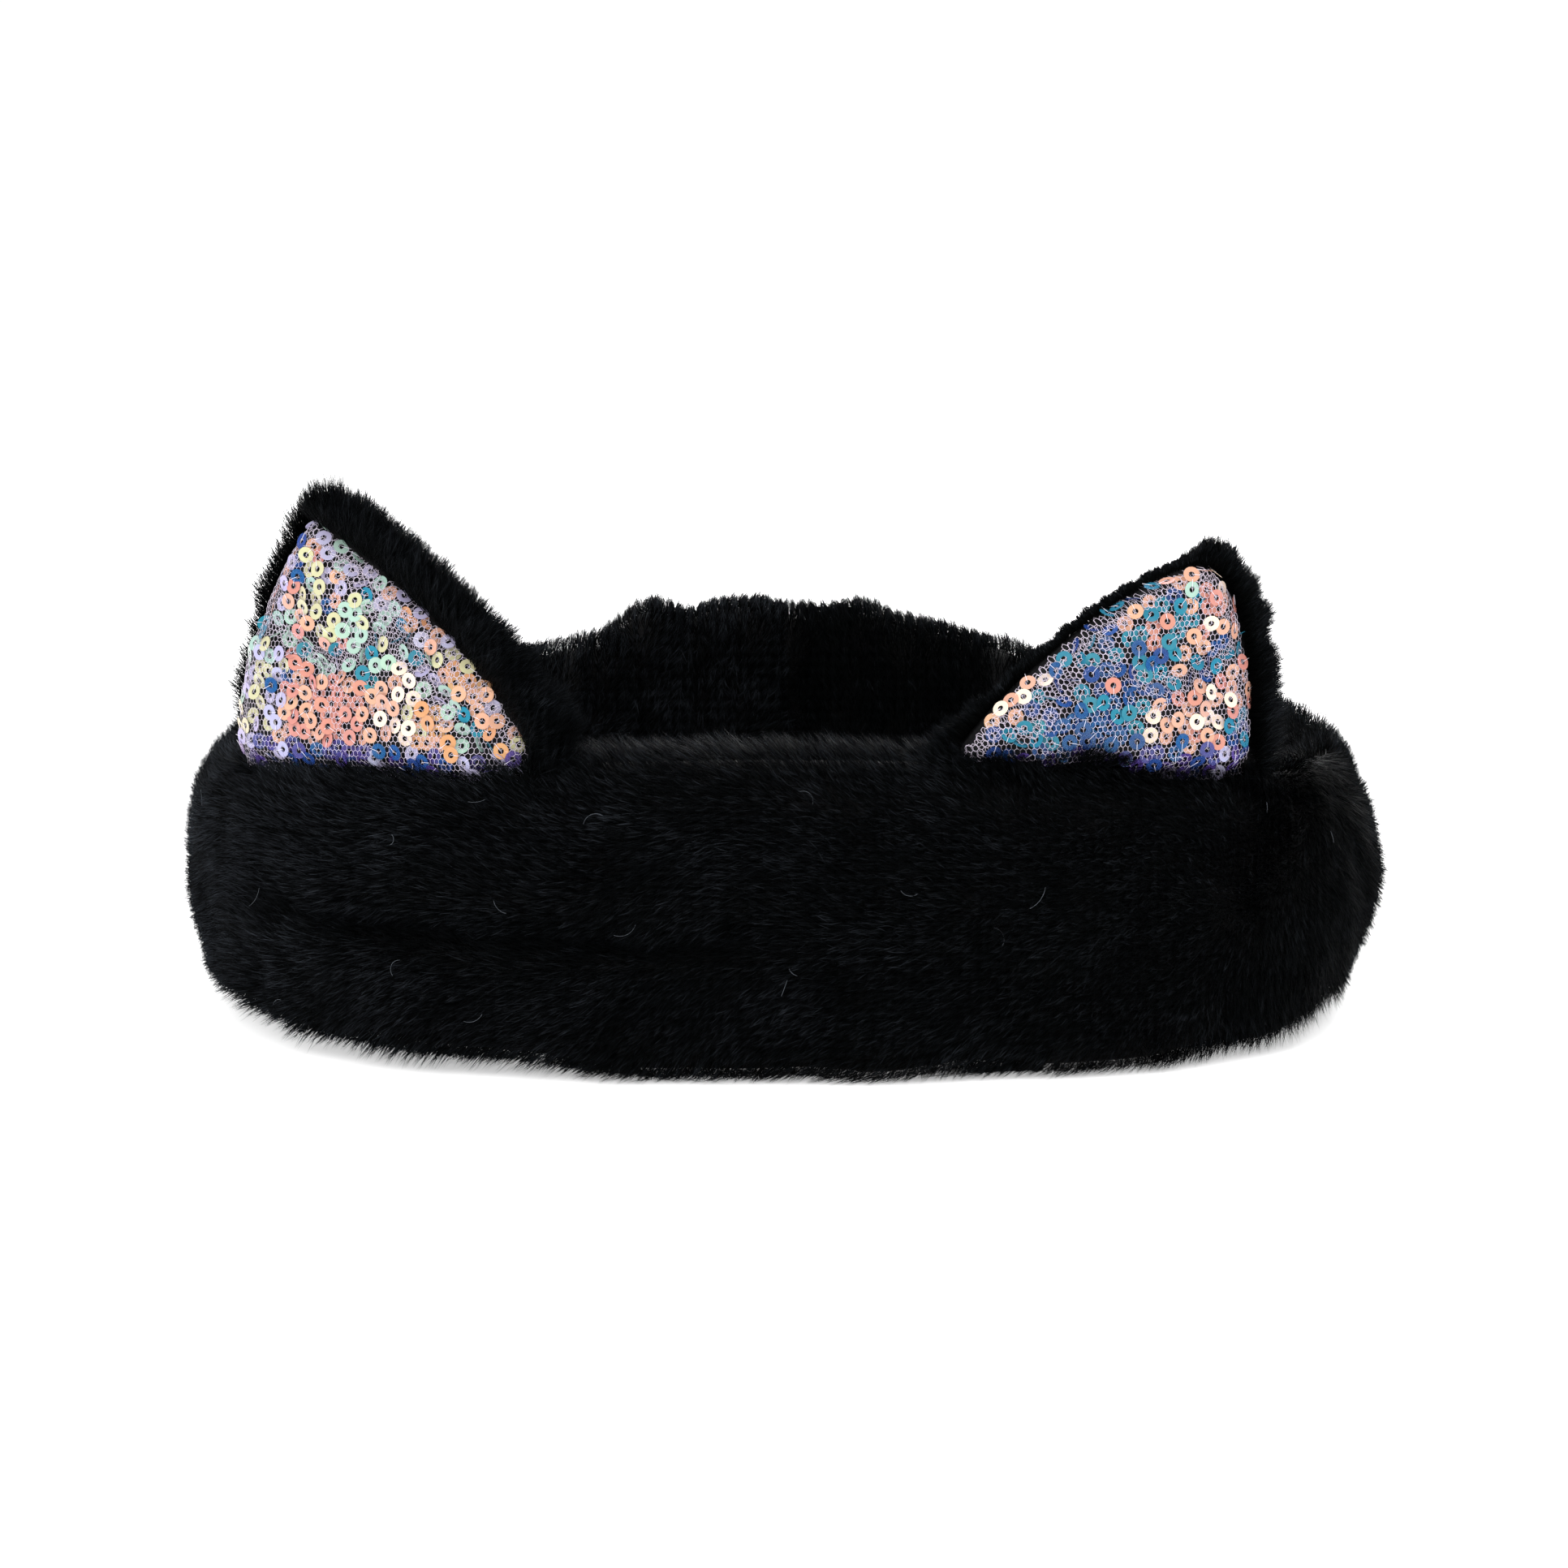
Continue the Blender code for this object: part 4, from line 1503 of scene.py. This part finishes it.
@dataclass
class SequinField:
    """The flat ring sequins that are sewn to an ear's net, one thread to each."""

    ear: Ear
    radius: float = 0.00150
    hole: float = 0.00055
    thickness: float = 0.00006
    spacing: float = 0.00208

    def build(self) -> list[bpy.types.Object]:
        """Make the sequins and the clear threads that hold them.

        Returns:
            The sequins and the threads.
        """
        spots = self.spots()
        tints = self.tints(spots)
        points, across, up = self.poses(spots)
        sequins = self.stamp(self.template(), points, across, up, tints)
        return [sequins, self.threads(points, across, up)]

    def spots(self) -> np.ndarray:
        """Scatter the sequins at least a spacing apart over the net.

        Returns:
            Their distances along the foot and their heights, n by 2.
        """
        sizes = self.ear.sizes
        random = np.random.default_rng(500 + sizes.side)
        kept: list[np.ndarray] = []
        for _ in range(12000):
            x = random.uniform(-0.5, 0.5) * sizes.width + sizes.side * sizes.tip_shift * 0.5
            z = random.uniform(-0.0046, sizes.height)
            spot = np.array([x, z])
            if not self.ear.inside(np.array([x]), np.array([z]), -0.0004)[0]:
                continue
            if all(np.hypot(*(spot - other)) > self.spacing for other in kept):
                kept.append(spot)
        return np.array(kept)

    def normals(self, spots: np.ndarray) -> np.ndarray:
        """Return the outward normals of the net's face at the spots.

        Args:
            spots: The sequins' places across the ear.

        Returns:
            The normals, n by 3.
        """
        step = 0.0006
        x, z = spots[:, 0], spots[:, 1]
        side = self.ear.face_point(x + step, z, 0) - self.ear.face_point(x - step, z, 0)
        rise = self.ear.face_point(x, z + step, 0) - self.ear.face_point(x, z - step, 0)
        return unit(np.cross(side, rise))

    def from_fold(self, spots: np.ndarray) -> np.ndarray:
        """Return the spots' distances from the nearest fold of the net."""
        slant, brow = self.ear.fold_lines(spots[:, 0], spots[:, 1])
        return np.where(slant < 0.001, np.minimum(np.abs(slant), np.abs(brow)), np.abs(slant))

    def tints(self, spots: np.ndarray) -> np.ndarray:
        """Choose each sequin's colour from the glint that it lies in.

        Args:
            spots: The sequins' places across the ear.

        Returns:
            An index into the tints for each sequin.
        """
        ear, sizes = self.ear, self.ear.sizes
        random = np.random.default_rng(600 + sizes.side)
        names = list(Tint)
        height = spots[:, 1] / sizes.height
        middle, reach = ear.net_outline(spots[:, 1], 0.0)
        across = (spots[:, 0] - middle) / np.maximum(reach, 0.002)
        chosen = []
        for u, v, near in zip(across, height, self.from_fold(spots)):
            # painted reflections: the film is coloured violet and blue along the bottom row and
            # mint or teal where sequins stand on edge in a fold
            if v < 0.02:
                options = (Tint.VIOLET, Tint.ROYAL, Tint.VIOLET, Tint.LILAC)
            elif near < 0.0022 and sizes.side < 0:
                options = (Tint.MINT, Tint.LILAC, Tint.TEAL, Tint.MINT)
            elif near < 0.0022:
                options = (Tint.TEAL, Tint.TEAL, Tint.ROYAL)
            elif random.random() < 0.08:
                options = (Tint.TEAL, Tint.ROYAL, Tint.CORAL, Tint.YELLOW)
            else:
                options = min(GLINTS[sizes.name], key=lambda glint: glint.away(u, v)).tints
            chosen.append(names.index(options[random.integers(len(options))]))
        return np.array(chosen)

    def poses(self, spots: np.ndarray) -> tuple[np.ndarray, np.ndarray, np.ndarray]:
        """Tilt each sequin a little off the net.

        Args:
            spots: The sequins' places across the ear.

        Returns:
            The middles and two directions in each sequin's own plane.
        """
        random = np.random.default_rng(700 + self.ear.sizes.side)
        count = len(spots)
        normal = self.normals(spots)
        # in a fold the sequins are pushed up on edge
        steep = np.exp(-((self.from_fold(spots) / 0.0018) ** 2))
        lean = random.normal(0, 1, (count, 3)) * (0.16 + 0.55 * steep)[:, None]
        normal = unit(normal + lean)
        proud = np.where(random.random(count) < 0.55, -0.00026, 0.00036)
        middle = self.ear.face_point(spots[:, 0], spots[:, 1], 0.0) + normal * proud[:, None]
        turn = random.uniform(0, math.tau, (count, 1))
        side = unit(np.cross(UP, normal))
        rise = np.cross(normal, side)
        across = side * np.cos(turn) + rise * np.sin(turn)
        return middle, across, np.cross(normal, across)

    def template(self) -> bmesh.types.BMesh:
        """Make one flat ring with a thin wall.

        Returns:
            The ring's mesh, about its middle.
        """
        bm = bmesh.new()
        made = bmesh.ops.create_circle(bm, cap_ends=False, segments=16, radius=self.radius)
        edges = list({edge for vert in made["verts"] for edge in vert.link_edges})
        inner = bmesh.ops.extrude_edge_only(bm, edges=edges)["geom"]
        verts = [item for item in inner if isinstance(item, bmesh.types.BMVert)]
        share = self.hole / self.radius
        bmesh.ops.scale(bm, vec=(share, share, 1.0), verts=verts)
        bmesh.ops.solidify(bm, geom=bm.faces, thickness=self.thickness)
        bmesh.ops.recalc_face_normals(bm, faces=bm.faces)
        bmesh.ops.triangulate(bm, faces=bm.faces)
        return bm

    def stamp(
        self, bm: bmesh.types.BMesh, points: np.ndarray, across: np.ndarray, up: np.ndarray,
        tints: np.ndarray,
    ) -> bpy.types.Object:
        """Copy the template to every sequin's place, in its colour.

        Args:
            bm: The template, which is freed.
            points: The sequins' middles.
            across: First directions in the sequins' planes.
            up: Second directions in the sequins' planes.
            tints: The sequins' colours.

        Returns:
            The sequins.
        """
        shape = np.array([vert.co for vert in bm.verts])
        corners = np.array([[vert.index for vert in face.verts] for face in bm.faces])
        bm.free()
        normal = np.cross(across, up)
        places = (
            points[:, None]
            + across[:, None] * shape[None, :, 0:1]
            + up[:, None] * shape[None, :, 1:2]
            + normal[:, None] * shape[None, :, 2:3]
        )
        faces = corners[None] + (np.arange(len(points)) * len(shape))[:, None, None]
        made = bulk_mesh(
            self.ear.sizes.name + "_sequins", places.reshape(-1, 3), faces.reshape(-1, 3),
            np.repeat(tints, len(corners)),
        )
        made.data.set_sharp_from_angle(angle=math.radians(40))
        for tint in Tint:
            film = SequinFilm("sequin_" + tint.name.lower(), tint.value)
            made.data.materials.append(finish(film))
        return made

    def threads(self, points: np.ndarray, across: np.ndarray, up: np.ndarray) -> bpy.types.Object:
        """Make the stitch that holds each sequin: a thread from its hole over its rim.

        Args:
            points: The sequins' middles.
            across: First directions in the sequins' planes.
            up: Second directions in the sequins' planes.

        Returns:
            The threads, as one piece.
        """
        bm = bmesh.new()
        normal = np.cross(across, up)
        for middle, side, out in zip(points, across, normal):
            start = Vector(middle)
            end = Vector(middle + side * self.radius * 1.25 + out * 0.0001)
            made = bmesh.ops.create_cone(
                bm, cap_ends=True, segments=4, radius1=0.00005, radius2=0.00005,
                depth=(end - start).length,
            )
            turn = (end - start).to_track_quat("Z", "Y").to_matrix().to_4x4()
            place = Matrix.Translation((start + end) / 2 + Vector(out) * 0.00008) @ turn
            bmesh.ops.transform(bm, matrix=place, verts=made["verts"])
        sewn = finish_mesh(self.ear.sizes.name + "_sequin_threads", bm)
        sewn.data.materials.append(finish(CLEAR_THREAD))
        return sewn


# ---- loose fibres and hidden pieces -----------------------------------------------
@dataclass
class StrayFibres:
    """Pale curved fibres that cling to the front's pile."""

    ring: Ring
    count: int = 18
    radius: float = 0.000017

    def build(self) -> bpy.types.Object:
        """Make the fibres as one piece of thin bent tubes.

        Returns:
            The fibres.
        """
        random = np.random.default_rng(900)
        bm = bmesh.new()
        for _ in range(self.count):
            self.add_fibre(bm, random)
        made = finish_mesh("stray_fibres", bm)
        made.data.materials.append(finish(LINT))
        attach(made, "front_band")
        return made

    def add_fibre(self, bm: bmesh.types.BMesh, random: np.random.Generator) -> None:
        """Add one bent fibre, a tube of four sides, somewhere on the front.

        Args:
            bm: The mesh that takes it.
            random: The fibres' random numbers.
        """
        arc = np.array([random.uniform(-0.125, 0.125)])
        run = np.array([random.uniform(0.12, 0.82)])
        panel = FurPanel(self.ring, Stretch.FRONT, Face.OUTER, 0)
        _, (out,), (side,) = self.ring.at(arc)
        spot = panel.surface(arc, run)[0] + out * (self.ring.sizes.pile - 0.0004)
        heading = random.uniform(0, math.tau)
        bend = random.uniform(-1.2, 1.2)
        length = random.uniform(0.0018, 0.0056)
        steps = 8
        rings = []
        for k in range(steps + 1):
            angle = heading + bend * k / steps * 2
            way = side * math.cos(angle) + UP * math.sin(angle)
            wide, thick = np.cross(way, out) * self.radius, out * self.radius
            rings.append([bm.verts.new(spot + d) for d in (wide, thick, -wide, -thick)])
            spot = spot + way * length / steps
        for near, far in zip(rings, rings[1:]):
            sides = [pair for ring in (near, far) for pair in zip(ring, ring[1:] + ring[:1])]
            edges = [bm.edges.get(pair) or bm.edges.new(pair) for pair in sides]
            bmesh.ops.bridge_loops(bm, edges=edges)
        for cap in (rings[0], rings[-1]):
            bm.faces.new(cap)


def dress_hidden_pieces() -> None:
    """Give the CAD pieces inside the ring and the ears their real finishes."""
    # a tack is thread though its name holds elastic, so it is looked up first
    looks = {
        "tack": THREAD,
        "thread": THREAD,
        "stitches": THREAD,
        "elastic": ELASTIC,
        "wadding": WADDING,
        "stuffing": WADDING,
    }
    for name, node in frame["nodes"].items():
        look = next((value for key, value in looks.items() if key in name), None)
        if look is None:
            continue
        if not node.data.materials:
            node.data.materials.append(finish(look))
        for index in range(len(node.data.materials)):
            node.data.materials[index] = finish(look)


# ---- studio -----------------------------------------------------------------------
@dataclass(frozen=True)
class Studio:
    """A white sweep, soft light from the front left and above, and the camera."""

    distance: float = 0.662
    camera_height: float = 0.148
    pitch: float = 9.21
    lens: float = 76.6

    def build(self) -> None:
        """Set up the floor, the lights, the world and the camera."""
        bm = bmesh.new()
        bmesh.ops.create_grid(bm, x_segments=1, y_segments=1, size=3.0)
        floor = finish_mesh("floor", bm)
        # an acrylic table that is lit from below, so that shadows stay faint
        paint, _ = blank_material(
            "lit_white_table", Base_Color=linear("ffffff"), Roughness=0.9,
            Emission_Color=linear("ffffff"), Emission_Strength=0.45,
        )
        floor.data.materials.append(paint)
        self.softbox("key", (-0.75, -0.95, 0.95), 0.9, 9.0)
        self.softbox("fill", (0.95, -0.75, 0.55), 0.9, 3.0)
        self.softbox("top", (0.0, 0.15, 1.3), 1.2, 8.0)
        self.softbox("back", (0.25, 1.2, 0.50), 1.0, 30.0)
        world = bpy.data.worlds.new("studio")
        world.use_nodes = True
        glow = world.node_tree.nodes["Background"]
        glow.inputs["Color"].default_value = (1.0, 1.0, 1.0, 1.0)
        glow.inputs["Strength"].default_value = 1.04
        bpy.context.scene.world = world
        bpy.context.scene.view_settings.view_transform = "Standard"
        self.camera()

    @staticmethod
    def softbox(name: str, place: tuple[float, float, float], size: float, power: float) -> None:
        """Add a square soft light that faces the object.

        Args:
            name: The light's name.
            place: Where it hangs.
            size: Its side, in metres.
            power: Its power, in watts.
        """
        light = bpy.data.lights.new(name, "AREA")
        light.size = size
        light.energy = power
        made = add_object(name, light)
        made.location = place
        aim = Vector((0.0, 0.0, 0.03)) - Vector(place)
        made.rotation_euler = aim.to_track_quat("-Z", "Y").to_euler()

    def camera(self) -> None:
        """Add the camera, level with a point well above the ring and looking down at it."""
        lens = bpy.data.cameras.new("camera")
        lens.lens = self.lens
        lens.sensor_width = 36.0
        lens.clip_start = 0.01
        made = add_object("camera", lens)
        made.location = (0.0, -self.distance, self.camera_height)
        made.rotation_euler = (math.radians(90 - self.pitch), 0.0, 0.0)
        bpy.context.scene.camera = made


def main() -> None:
    """Build the headband piece by piece."""
    logging.basicConfig(level=logging.INFO)
    ring = Ring(RingSizes.from_frame())
    panels = [
        FurPanel(ring, Stretch.FRONT, Face.OUTER, 240000),
        FurPanel(ring, Stretch.FRONT, Face.INNER, 70000),
        FurPanel(ring, Stretch.LEFT_GATHERS, Face.OUTER, 44000),
        FurPanel(ring, Stretch.LEFT_GATHERS, Face.INNER, 36000),
        FurPanel(ring, Stretch.RIGHT_GATHERS, Face.OUTER, 44000),
        FurPanel(ring, Stretch.RIGHT_GATHERS, Face.INNER, 36000),
        FurPanel(ring, Stretch.REAR_CASING, Face.OUTER, 64000),
        FurPanel(ring, Stretch.REAR_CASING, Face.INNER, 80000),
    ]
    pieces: list[bpy.types.Object] = []
    for panel in panels:
        pieces += panel.build()
    pieces.append(Wadding(ring).build())
    for sizes in EARS:
        pieces += Ear(sizes).build()
    pieces.append(StrayFibres(ring).build())
    for made in pieces:
        LOG.info("%s: %d faces", made.name, len(made.data.polygons))
    dress_hidden_pieces()
    Studio().build()


if __name__ == "__main__":
    main()
